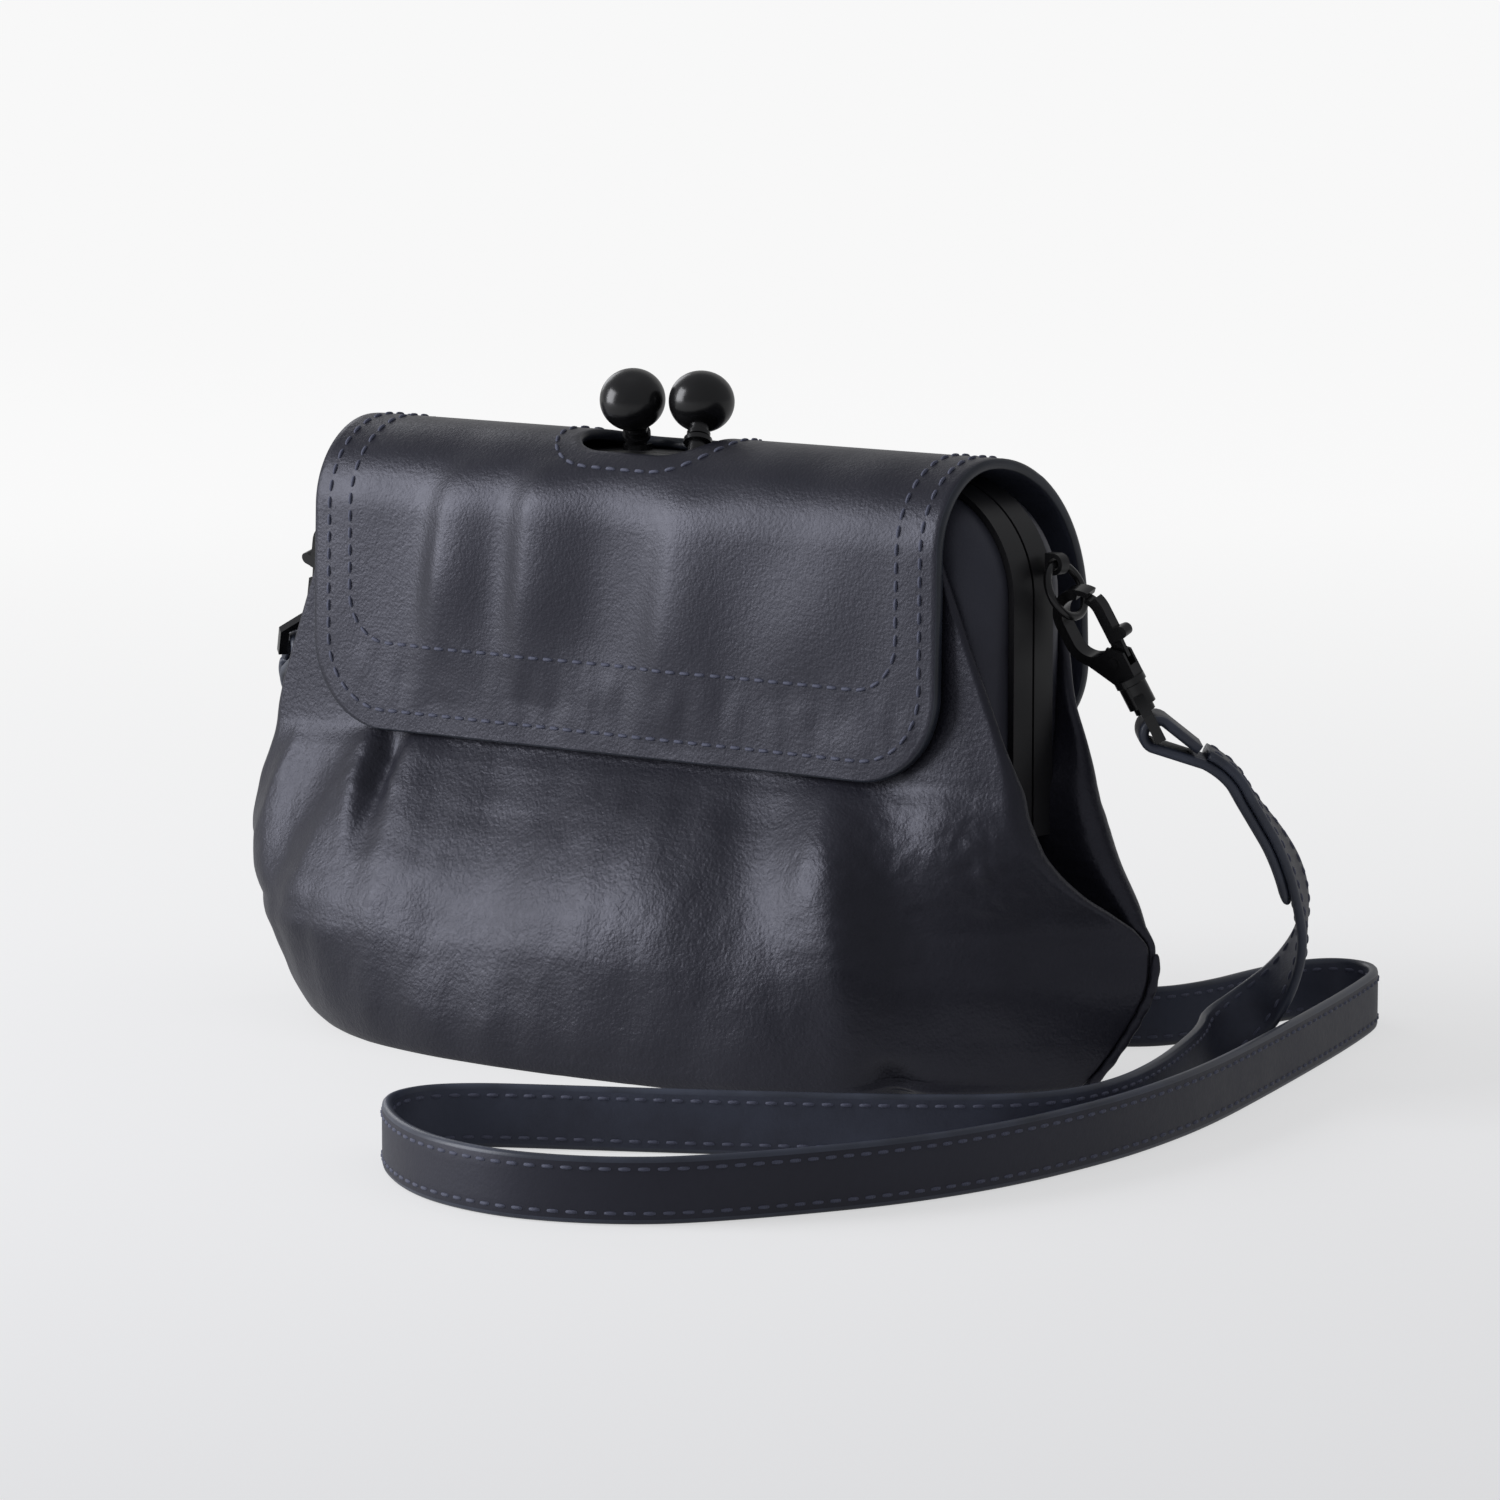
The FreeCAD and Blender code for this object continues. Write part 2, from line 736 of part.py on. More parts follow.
def welt(label, side):
    """Rolled seam that stands out at the lower corner of the side."""
    radius = float(s.welt_radius)
    clear = radius + float(s.seam_gap)
    points = []
    for row in POUCH_ROWS[1:5]:
        height = min(row[0], float(s.welt_top))
        points.append(Vector((row[3] + clear) * side, 0, height))
    rings = []
    for index, point in enumerate(points):
        heading = points[min(index + 1, len(points) - 1)] - points[max(index - 1, 0)]
        rings.append(Part.Wire([Part.makeCircle(radius, point, heading)]))
    solid(label, Part.makeLoft(rings, True, True))


welt("right_welt", 1)
welt("left_welt", -1)

# Lining: height over the pouch top, then depth and side as pairs of shares of pouch and frame
LINING_SHARES = [
    (0.037, (0.620, 0), (0.700, 0)),
    (0.060, (0.730, 0), (0.780, 0)),
    (0.119, (0.830, 0), (0.820, 0)),
    (0.209, (0.890, 0), (0.830, 0)),
    (0.269, (0.860, 0), (0.820, 0)),
    (0.328, (0.770, 0), (0.740, 0)),
    (0.388, (0.665, 0), (0, 0.797)),
    (0.470, (0.530, 0), (0, 0.791)),
    (0.567, (0, 1.009), (0, 0.791)),
    (0.746, (0, 0.948), (0, 0.791)),
    (0.955, (0, 0.948), (0, 0.791)),
]
LINING_END_SHARE = 0.2
LINING_ROUNDNESS = 3.0


def lining():
    cloth = float(s.lining_cloth)
    end = LINING_END_SHARE * deep
    shells = []
    for inset in (0, cloth):
        sections = []
        for index, (height, depth, side) in enumerate(LINING_SHARES):
            z = height * top
            if index == 0:
                z += inset
            if index == len(LINING_SHARES) - 1 and inset:
                z += float(s.overrun)
            plan = (across(side) - inset, inward(depth) - inset, end, LINING_ROUNDNESS, z)
            sections.append(ring_wire(plan_curve(*plan, -1), plan_curve(*plan, 1)))
        shells.append(Part.makeLoft(sections, True, True))
    solid("lining", shells[0].cut(shells[1]))


lining()


# Rings on lugs at the corners of the rear half; the strap's pull tilts them outwards

ring_height = s.frame_top - s.frame_corner + s.ring_rise


def side_lug(label, side):
    made = body(label)
    profile = sketch(made, "XZ_Plane", -(s.ring_place - s.lug_thickness / 2))
    eye = (half + s.lug_reach) * side
    root = half * side
    lug = s.lug_radius
    draw(profile, [
        (root, ring_height - lug), (eye, ring_height - lug, lug, side),
        (eye + lug * side, ring_height, lug, side), (eye, ring_height + lug),
        (root, ring_height + lug)])
    extrude(made, profile, s.lug_thickness, backwards=True)
    hole = sketch(made, "XZ_Plane")
    draw_circle(hole, eye, ring_height, s.lug_hole)
    extrude(made, hole, s.frame_width, "Pocket", symmetric=True)


def side_ring(label, side):
    made = doc.addObject("Part::Torus", label)
    drive(made, "Radius1", s.ring_radius)
    drive(made, "Radius2", s.ring_wire)
    tilt = math.radians(float(s.ring_tilt))
    hang = Vector(math.sin(tilt) * side, 0, -math.cos(tilt)) * float(s.ring_radius)
    eye = Vector(float(half + s.lug_reach) * side, float(s.ring_place), float(ring_height))
    normal = Vector(math.cos(tilt), 0, math.sin(tilt) * side)
    made.Placement = Placement(eye + hang, Rotation(Vector(0, 0, 1), normal))
    return eye + hang * 2


# Snap hooks: local Z runs up the swivel axis, local Y is the thickness
HOOK_AXIS = Vector(-0.359, -0.281, 0.890)
HOOK_FLAT = Vector(0.616, -0.788, 0)
WIRE_SHARES = (-0.48, 0.14)


def hook_placement(side, wire):
    """Hangs a hook on the ring's lowest point; returns its place and that of its eye."""
    up = Vector(HOOK_AXIS.x * side, HOOK_AXIS.y, HOOK_AXIS.z).normalize()
    across = Vector(HOOK_FLAT.x, HOOK_FLAT.y * side, 0)
    across = (across - up * across.dot(up)).normalize() * -1
    if side < 0:
        across = across * -1
    out = across.cross(up)
    if out.x * side < 0:
        out = out * -1
        across = across * -1
    turn = Rotation(FreeCAD.Matrix(
        out.x, across.x, up.x, 0, out.y, across.y, up.y, 0, out.z, across.z, up.z, 0))
    claw = float(s.claw_inner)
    local = Vector(WIRE_SHARES[0] * claw - float(s.claw_aside), 0,
                   float(s.claw_high) + WIRE_SHARES[1] * claw)
    turned = turn.multiply(Rotation(Vector(0, 0, 1), -float(s.hook_turn) * side))
    base = wire - turned.multVec(local)
    return Placement(base, turned), Placement(base, turn)


# Angles on the claw: its lower left side, the foot of its window, and the lip over the gate's tip
CLAW_SIDE = 180
CLAW_FOOT = 235
WINDOW_FOOT = 310
LIP_START = 42
LIP_END = 66
LIP_RUNOUT = 70
GATE_STEP = 27
GATE_TIP_START = 31
GATE_TIP_END = 47
SHOULDER_SHARE = 0.6


def hook_body(label, where):
    """Claw with a straight left side, a triangular foot and a stem that turns in the eye."""
    made = body(label)
    claw = sketch(made, "XZ_Plane")
    aside = -s.claw_aside
    low = (s.claw_low, aside)
    high = (s.claw_high, aside)
    big = s.claw_outer
    small = s.claw_inner
    nose = s.nose_inner
    draw(claw, [
        polar(nose, LIP_START, *high), polar(big, LIP_START, *high) + (big, 1),
        polar(big, CLAW_SIDE, *high), polar(big, CLAW_SIDE, *low) + (big, 1),
        polar(big, CLAW_FOOT, *low), (-s.neck_half, s.neck_foot), (s.neck_half, s.neck_foot),
        (s.neck_half, s.gate_height + s.gate_heel * SHOULDER_SHARE),
        polar(small, WINDOW_FOOT, *low) + (small, -1), polar(small, CLAW_SIDE, *low),
        polar(small, CLAW_SIDE, *high) + (small, -1), polar(small, LIP_RUNOUT, *high),
        polar(nose, LIP_END, *high) + (nose, -1)])
    extrude(made, claw, s.hook_thickness, symmetric=True)
    stem = sketch(made, "XZ_Plane")
    head = s.hub_foot + s.swivel_gap
    draw(stem, [
        (0, -head - s.swivel_head_height), (s.swivel_head_radius, -head - s.swivel_head_height),
        (s.swivel_head_radius, -head), (s.stem_radius, -head),
        (s.stem_radius, s.swivel_collar_foot), (s.swivel_collar_radius, s.swivel_collar_foot),
        (s.swivel_collar_radius, s.neck_foot + s.swivel_gap), (0, s.neck_foot + s.swivel_gap)])
    revolve(made, stem, "V_Axis")
    slot = sketch(made, "XZ_Plane")
    draw_circle(slot, -s.gate_aside, s.gate_height, s.gate_slot_radius)
    extrude(made, slot, s.gate_slot, "Pocket", symmetric=True)
    hole = sketch(made, "XZ_Plane")
    draw_circle(hole, -s.gate_aside, s.gate_height, s.gate_pin_radius + s.running_clearance)
    extrude(made, hole, s.hook_thickness + s.overrun, "Pocket", symmetric=True)
    made.Placement = where


def gate_lever(label, where):
    """Lever on the pin: a thin root in the slot, a thick arm to the lip and a thumb peg."""
    made = body(label)
    aside = -s.claw_aside
    high = (s.claw_high, aside)
    big = s.gate_outer
    small = s.gate_inner
    tip = s.gate_tip
    root = sketch(made, "XZ_Plane")
    draw(root, [(-s.gate_aside, s.gate_height), (s.neck_half, s.gate_height),
                (aside + big, s.claw_low), (aside + small, s.claw_low)])
    extrude(made, root, s.gate_thickness, symmetric=True)
    arm = sketch(made, "XZ_Plane")
    foot = s.gate_arm_foot
    draw(arm, [
        (aside + small, foot), (aside + big, foot), (aside + big, s.claw_high, big, 1),
        polar(big, GATE_STEP, *high), polar(tip, GATE_TIP_START, *high) + (tip, 1),
        polar(tip, GATE_TIP_END, *high), polar(small, GATE_TIP_END, *high) + (small, -1),
        (aside + small, s.claw_high)])
    extrude(made, arm, s.gate_arm_thickness, symmetric=True)
    heel = sketch(made, "XZ_Plane")
    draw_circle(heel, -s.gate_aside, s.gate_height, s.gate_heel)
    extrude(made, heel, s.gate_thickness, symmetric=True)
    thumb = sketch(made, "XZ_Plane")
    peg = s.thumb_radius
    end = s.thumb_reach - peg
    middle = s.thumb_height
    draw(thumb, [
        (aside + small, middle - peg), (end, middle - peg, peg, 1), (end + peg, middle, peg, 1),
        (end, middle + peg), (aside + small, middle + peg)])
    extrude(made, thumb, s.gate_arm_thickness, symmetric=True)
    hole = sketch(made, "XZ_Plane")
    draw_circle(hole, -s.gate_aside, s.gate_height, s.gate_pin_radius + s.running_clearance)
    extrude(made, hole, s.hook_thickness, "Pocket", symmetric=True)
    made.Placement = where


def gate_pin(label, where):
    """Riveted pin; its heads lie on the cheeks."""
    made = body(label)
    profile = sketch(made, "YZ_Plane")
    cheek = s.hook_thickness / 2
    end = cheek + s.gate_pin_head_height
    draw(profile, [
        (-end, 0), (-end, s.gate_pin_head), (-cheek, s.gate_pin_head), (-cheek, s.gate_pin_radius),
        (cheek, s.gate_pin_radius), (cheek, s.gate_pin_head), (end, s.gate_pin_head), (end, 0)])
    revolve(made, profile, "H_Axis")
    spot = where.multVec(Vector(-float(s.gate_aside), 0, float(s.gate_height)))
    made.Placement = Placement(spot, where.Rotation)


def gate_spring(label, where):
    """Flat coil of the gate beside its lever."""
    made = body(label)
    profile = sketch(made, "YZ_Plane")
    wire = s.spring_wire
    low = s.spring_radius - wire
    high = s.spring_radius + wire
    draw(profile, [(-wire, low), (wire, low), (wire, high), (-wire, high)])
    revolve(made, profile, "H_Axis")
    aside = float(s.gate_thickness + s.gate_slot) / 4
    spot = where.multVec(Vector(-float(s.gate_aside), aside, float(s.gate_height)))
    made.Placement = Placement(spot, where.Rotation)


def strap_eye(label, where):
    """D-shaped eye that turns on the swivel stem."""
    made = body(label)
    window = s.eye_window / 2
    outside = window + s.eye_side
    low = -(s.eye_bar_drop + s.eye_bar / 2)
    bar_top = -(s.eye_bar_drop - s.eye_bar / 2)
    shoulder = -s.eye_shoulder_drop
    loop = sketch(made, "YZ_Plane")
    draw(loop, [(-outside, low), (outside, low), (outside, shoulder),
                (s.eye_neck, 0), (-s.eye_neck, 0), (-outside, shoulder)])
    draw(loop, [(-window, bar_top), (window, bar_top), (window, shoulder),
                (s.eye_neck, -s.hub_foot), (-s.eye_neck, -s.hub_foot), (-window, shoulder)])
    extrude(made, loop, s.eye_bar, symmetric=True)
    hub = sketch(made, "XY_Plane", -s.hub_foot)
    draw_circle(hub, 0, 0, s.hub_radius)
    extrude(made, hub, s.hub_foot + s.hub_top)
    hole = sketch(made, "XY_Plane", s.hub_top)
    draw_circle(hole, 0, 0, s.stem_radius + s.running_clearance)
    extrude(made, hole, s.hub_top + s.hub_foot, "Pocket")
    made.Placement = where


strap_width = float(s.strap_width)
strap_thick = float(s.strap_thickness)
STRAP_LEAVES = Vector(0.702, 0.549, -0.454)


def strap_loop(label, side, where):
    """Strap end folded round the eye's bar; returns where the strap goes on, and its normal."""
    bar = where.multVec(Vector(0, 0, -float(s.eye_bar_drop)))
    along = where.Rotation.multVec(Vector(0, 1, 0))
    away = Vector(STRAP_LEAVES.x * side, STRAP_LEAVES.y, STRAP_LEAVES.z)
    away = (away - along * away.dot(along)).normalize()
    up = along.cross(away).normalize()
    if up.z < 0:
        up = up * -1
    inner = float(s.eye_bar) * math.sqrt(0.5) + float(s.strap_bar_clearance)
    outer = inner + strap_thick
    fold = float(s.strap_fold)
    start = bar - along * (strap_width / 2)

    def spot(forward, raised):
        return start + away * forward + up * raised

    def face(radius, tail):
        """Teardrop face round the bar with a blunt or a sharp tail."""
        bend = Part.Arc(spot(0, radius), spot(-radius, 0), spot(0, -radius)).toShape()
        ends = [spot(0, -radius)] + tail + [spot(0, radius)]
        lines = [Part.LineSegment(a, b).toShape() for a, b in zip(ends, ends[1:])]
        return Part.Face(Part.Wire([bend] + lines))

    whole = face(outer, [spot(fold, -strap_thick), spot(fold, strap_thick)])
    window = face(inner, [spot(float(s.strap_fold_inner), 0)])
    solid(label, whole.cut(window).extrude(along * strap_width))
    return bar + away * fold + up * (strap_thick / 2), up


lug_ends = {}
for side, name in ((1, "right"), (-1, "left")):
    side_lug(name + "_ring_lug", side)
    lowest = side_ring(name + "_ring", side)
    where, eye_where = hook_placement(side, lowest)
    hook_body(name + "_hook_body", where)
    gate_lever(name + "_gate_lever", where)
    gate_pin(name + "_gate_pin", where)
    gate_spring(name + "_gate_spring", where)
    strap_eye(name + "_eye", eye_where)
    lug_ends[name] = strap_loop(name + "_strap_end", side, eye_where)
    print(name, "hook", where, "eye end", lug_ends[name])


# Strap: from the right hook down to the floor, round a loop in front, behind the bag and up

STRAP_ROUTE = [
    (146.6, 33.0, 70.5), (149.0, 43.0, 58.5), (148.3, 52.0, 46.5), (145.5, 58.0, 34.5),
    (138.8, 60.0, 23.5), (131.5, 57.0, 14.8), (128.5, 48.0, 9.8), (131.0, 36.0, 7.8),
    (139.5, 16.0, 7.6), (150.0, -12.0, 7.6), (155.5, -36.0, 7.6),
    (154.0, -55.0, 7.6), (144.5, -69.5, 7.6), (120.0, -86.5, 7.6), (82.0, -108.0, 7.6),
    (57.0, -121.0, 7.6), (41.5, -129.5, 7.6), (33.0, -139.0, 7.6), (33.5, -151.0, 7.6),
    (43.0, -163.0, 7.6), (58.5, -175.5, 7.6), (75.0, -183.5, 7.6), (93.5, -186.3, 7.6),
    (108.0, -183.3, 7.6), (121.0, -177.0, 7.6), (132.0, -167.5, 7.6), (145.0, -147.0, 7.6),
    (157.5, -122.0, 7.6), (165.0, -93.0, 7.6), (167.0, -62.0, 7.6), (166.0, -38.0, 7.6),
    (161.5, -7.0, 7.6), (150.5, 36.0, 7.6), (137.5, 83.0, 7.6), (129.5, 109.0, 7.6),
    (124.0, 124.5, 7.6), (116.5, 133.0, 7.6), (107.0, 133.0, 7.6), (101.0, 124.0, 7.6),
    (99.5, 106.0, 7.6), (100.0, 85.5, 7.6), (95.5, 68.0, 7.6),
    (79.0, 59.0, 7.6), (45.0, 57.0, 7.6), (5.0, 56.8, 7.6), (-40.0, 57.0, 7.6),
    (-80.0, 58.0, 7.6), (-108.0, 60.0, 8.4), (-127.0, 61.5, 13.5), (-138.0, 58.0, 26.0),
    (-143.2, 50.5, 41.0), (-145.0, 42.0, 55.0), (-144.6, 33.7, 68.0),
]
# Which way the strap's width points at its first and its last places; it stands on edge between
WIDTH_START = [
    Vector(-0.616, 0.788, 0), Vector(-0.616, 0.788, 0), Vector(-0.60, 0.80, 0),
    Vector(-0.45, 0.89, 0), Vector(-0.40, 0.90, 0.10), Vector(-0.55, 0.80, 0.20),
    Vector(-0.75, 0.55, 0.35), Vector(-0.80, 0.10, 0.60), Vector(-0.50, -0.30, 0.80)]
LEFT_RISE = Vector(0.616, 0.788, 0)
WIDTH_END = [LEFT_RISE, LEFT_RISE, LEFT_RISE, LEFT_RISE, LEFT_RISE, LEFT_RISE]
TURN_SHARE = 0.45
LEAVE_SHARE = 0.35
ARC_SHARES = (0.0, 0.25, 0.5, 0.75, 1.0)


def strap():
    begin, begin_up = lug_ends["right"]
    finish, finish_up = lug_ends["left"]
    first = Vector(*STRAP_ROUTE[0])
    last = Vector(*STRAP_ROUTE[-1])
    middle_a = begin + Vector(STRAP_LEAVES.x, STRAP_LEAVES.y, STRAP_LEAVES.z) * (
        (first - begin).Length * LEAVE_SHARE)
    middle_b = finish + Vector(-STRAP_LEAVES.x, STRAP_LEAVES.y, STRAP_LEAVES.z) * (
        (last - finish).Length * LEAVE_SHARE)
    points = [begin, middle_a] + [Vector(*item) for item in STRAP_ROUTE] + [middle_b, finish]
    lying = [Vector(0, 0, 1)] * (len(points) - len(WIDTH_START) - len(WIDTH_END))
    hints = WIDTH_START + lying + WIDTH_END
    edges = []
    stations = []
    radii = []
    here = points[0]
    heading = (points[1] - points[0]).normalize()
    stations.append((here, heading, hints[0]))
    for index in range(1, len(points) - 1):
        before = points[index] - points[index - 1]
        after = points[index + 1] - points[index]
        reach = TURN_SHARE * min(before.Length, after.Length)
        before.normalize()
        after.normalize()
        turn = before.getAngle(after)
        radius = reach / math.tan(turn / 2)
        radii.append(radius)
        enter = points[index] - before * reach
        leave = points[index] + after * reach
        inward = (after - before).normalize()
        centre = points[index] + inward * math.sqrt(reach * reach + radius * radius)
        spoke = enter - centre
        edges.append(Part.LineSegment(here, enter).toShape())
        half_way = centre + (points[index] - centre).normalize() * radius
        edges.append(Part.Arc(enter, half_way, leave).toShape())
        for share in ARC_SHARES:
            angle = turn * share
            spot = centre + spoke * math.cos(angle) + before * (radius * math.sin(angle))
            heading = before * math.cos(angle) - spoke * (math.sin(angle) / radius)
            hint = hints[index - 1] * max(0.5 - share, 0) + hints[index] * (1 - abs(share - 0.5))
            hint = hint + hints[index + 1] * max(share - 0.5, 0)
            stations.append((spot, heading, hint))
        here = leave
    edges.append(Part.LineSegment(here, points[-1]).toShape())
    stations.append((points[-1], (points[-1] - points[-2]).normalize(), hints[-1]))
    path = Part.Wire(edges)
    rings = []
    for spot, heading, hint in stations:
        broad = (hint - heading * hint.dot(heading)).normalize() * (strap_width / 2)
        flat = heading.cross(broad).normalize() * (strap_thick / 2)
        rings.append([spot - broad - flat, spot + broad - flat, spot + broad + flat,
                      spot - broad + flat])
    shape = folded_solid(rings)
    solid("strap", shape)
    print("strap length %.1f" % path.Length, "smallest radii",
          ["%.1f" % value for value in sorted(radii)[:6]],
          "volume over section %.4f" % (shape.Volume / (strap_width * strap_thick * path.Length)))
    print("strap points", [tuple(round(v, 2) for v in point) for point in points])


strap()

doc.recompute()

PIECES = [
    "front_frame", "rear_frame", "front_collar", "rear_collar", "left_hinge_rivet",
    "right_hinge_rivet", "front_ball_stud", "rear_ball_stud", "front_ball_stud_base",
    "rear_ball_stud_base", "flap", "flap_back", "pouch_front", "pouch_back", "pouch_base",
    "base_board", "left_gusset", "right_gusset", "left_welt", "right_welt", "lining", "strap"]
for name in ("left", "right"):
    PIECES += [name + tail for tail in (
        "_ring_lug", "_ring", "_hook_body", "_gate_lever", "_gate_pin", "_gate_spring", "_eye",
        "_strap_end")]

for item in doc.Objects:
    if "Invalid" in item.State or "Error" in item.State:
        raise ValueError("%s did not build: %s" % (item.Label, item.State))

os.makedirs("parts", exist_ok=True)
for label in PIECES:
    found = doc.getObjectsByLabel(label)[0]
    shape = found.Shape
    if shape.isNull() or not shape.isValid() or len(shape.Solids) != 1:
        raise ValueError("%s is not one valid solid" % label)
    shape.exportStep("parts/%s.step" % label)
    box = shape.BoundBox
    print("%-22s %9.1f mm3  x %7.1f %7.1f  y %7.1f %7.1f  z %7.1f %7.1f" % (
        label, shape.Volume, box.XMin, box.XMax, box.YMin, box.YMax, box.ZMin, box.ZMax))
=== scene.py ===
"""Looks of a kiss lock frame purse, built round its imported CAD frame."""

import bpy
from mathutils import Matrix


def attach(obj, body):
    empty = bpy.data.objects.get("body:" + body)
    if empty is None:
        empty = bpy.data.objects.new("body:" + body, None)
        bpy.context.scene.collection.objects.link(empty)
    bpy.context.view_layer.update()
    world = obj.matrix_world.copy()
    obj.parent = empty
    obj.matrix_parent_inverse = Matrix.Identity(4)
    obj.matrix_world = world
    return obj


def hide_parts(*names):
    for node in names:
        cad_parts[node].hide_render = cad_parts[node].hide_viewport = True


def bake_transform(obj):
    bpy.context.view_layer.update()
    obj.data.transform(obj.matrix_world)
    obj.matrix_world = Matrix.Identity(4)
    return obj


bl_info = {
    "name": "Kiss Lock Purse",
    "version": (1, 0, 0),
    "blender": (4, 5, 0),
    "location": "View3D > Sidebar > Purse",
    "description": "Dresses the CAD frame of a kiss lock purse in leather, thread and lacquer",
    "category": "Object",
}

import math

import bpy
import numpy as np
from bpy.props import FloatProperty, FloatVectorProperty, PointerProperty
from mathutils import Vector, noise

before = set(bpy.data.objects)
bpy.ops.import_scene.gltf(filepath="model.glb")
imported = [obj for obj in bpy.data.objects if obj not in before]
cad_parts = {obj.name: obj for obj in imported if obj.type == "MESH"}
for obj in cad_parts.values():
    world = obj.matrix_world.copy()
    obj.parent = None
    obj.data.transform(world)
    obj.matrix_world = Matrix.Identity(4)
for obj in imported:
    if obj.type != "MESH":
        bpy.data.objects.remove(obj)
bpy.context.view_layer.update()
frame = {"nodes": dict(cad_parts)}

MM = 0.001
SIDES = {"right": 1, "left": -1}
WINGS = {"front": -1, "back": 1}


def length(name, description, value):
    return FloatProperty(name=name, description=description, default=value, unit="LENGTH")


def colour(name, description, value):
    return FloatVectorProperty(
        name=name, description=description, default=value, size=3, subtype="COLOR",
        min=0.0, max=1.0)


class PurseSizes(bpy.types.PropertyGroup):
    """Sizes of the leather work, in metres."""

    leather: length("Pouch leather", "Thickness of the pouch leather", 0.0016)
    flap_leather: length("Flap leather", "Thickness of the doubled flap leather", 0.0026)
    strap_width: length("Strap width", "Width of the strap", 0.015)
    strap_leather: length("Strap thickness", "Thickness of the doubled strap", 0.0024)
    stitch_pitch: length("Stitch pitch", "Distance from one stitch to the next", 0.0043)
    stitch_length: length("Stitch length", "Length of thread that shows in one stitch", 0.0033)
    thread: length("Thread", "Thickness of the sewing thread", 0.00095)


class PurseColours(bpy.types.PropertyGroup):
    """Colours of the materials."""

    leather: colour("Leather", "Waxed dark navy leather", (0.0145, 0.0146, 0.0215))
    leather_pale: colour("Worn leather", "Leather where it is rubbed", (0.0240, 0.0240, 0.0330))
    collar: colour("Collar", "Leather of the bands beside the frame", (0.0420, 0.0440, 0.0580))
    strap: colour("Strap", "Outer face of the strap", (0.0210, 0.0216, 0.0320))
    reverse: colour("Reverse", "Blue inner face of the strap", (0.0600, 0.0680, 0.0980))
    edge: colour("Edge paint", "Painted cut edges", (0.0260, 0.0310, 0.0440))
    strap_edge: colour("Strap edge", "Blue-grey paint on the strap", (0.0500, 0.0580, 0.0850))
    thread: colour("Thread", "Sewing thread", (0.1300, 0.1400, 0.2100))
    frame: colour("Frame", "Matte lacquer on the frame", (0.0070, 0.0070, 0.0085))
    clasp: colour("Clasp", "Satin lacquer on the studs and hooks", (0.0090, 0.0090, 0.0098))
    lining: colour("Lining", "Woven lining", (0.0250, 0.0260, 0.0360))
    # Floor colours, pale near and dark far: with the floor's glow they paint the fall-off of the
    # studio light over the floor
    floor: colour("Floor", "Pale studio floor, near", (0.500, 0.502, 0.508))
    floor_far: colour("Far floor", "Pale studio floor, far", (0.05, 0.05, 0.0503))


# Node groups and materials


def group_of(name, inputs, outputs):
    """A new shader node group: coordinates and the named numbers and colours go in."""
    group = bpy.data.node_groups.new(name, "ShaderNodeTree")
    socket = group.interface.new_socket
    socket("Coordinates", in_out="INPUT", socket_type="NodeSocketVector")
    for label, value in inputs.items():
        kind = "NodeSocketFloat" if isinstance(value, float) else "NodeSocketColor"
        socket(label, in_out="INPUT", socket_type=kind).default_value = value
    for label in outputs:
        kind = "NodeSocketColor" if label == "Colour" else "NodeSocketFloat"
        socket(label, in_out="OUTPUT", socket_type=kind)
    start = group.nodes.new("NodeGroupInput")
    end = group.nodes.new("NodeGroupOutput")
    return group, start.outputs, end


def connect(tree, made, inputs):
    """Gives inputs, by name or number, their values, or links where these are sockets."""
    for key, value in inputs.items():
        if isinstance(value, bpy.types.NodeSocket):
            tree.links.new(value, made.inputs[key])
        else:
            made.inputs[key].default_value = value


def node(tree, kind, inputs=None, **values):
    """A new node with its properties and inputs."""
    made = tree.nodes.new(kind)
    for key, value in values.items():
        setattr(made, key, value)
    connect(tree, made, inputs or {})
    return made


def math_node(tree, operation, first, second, clamp=False):
    """One sum of two values or sockets."""
    made = node(tree, "ShaderNodeMath", {0: first, 1: second}, operation=operation,
                use_clamp=clamp)
    return made.outputs[0]


def texture(group, given, kind, inputs, **values):
    """A texture at the group's coordinates."""
    return node(group, kind, {"Vector": given["Coordinates"], **inputs}, **values)


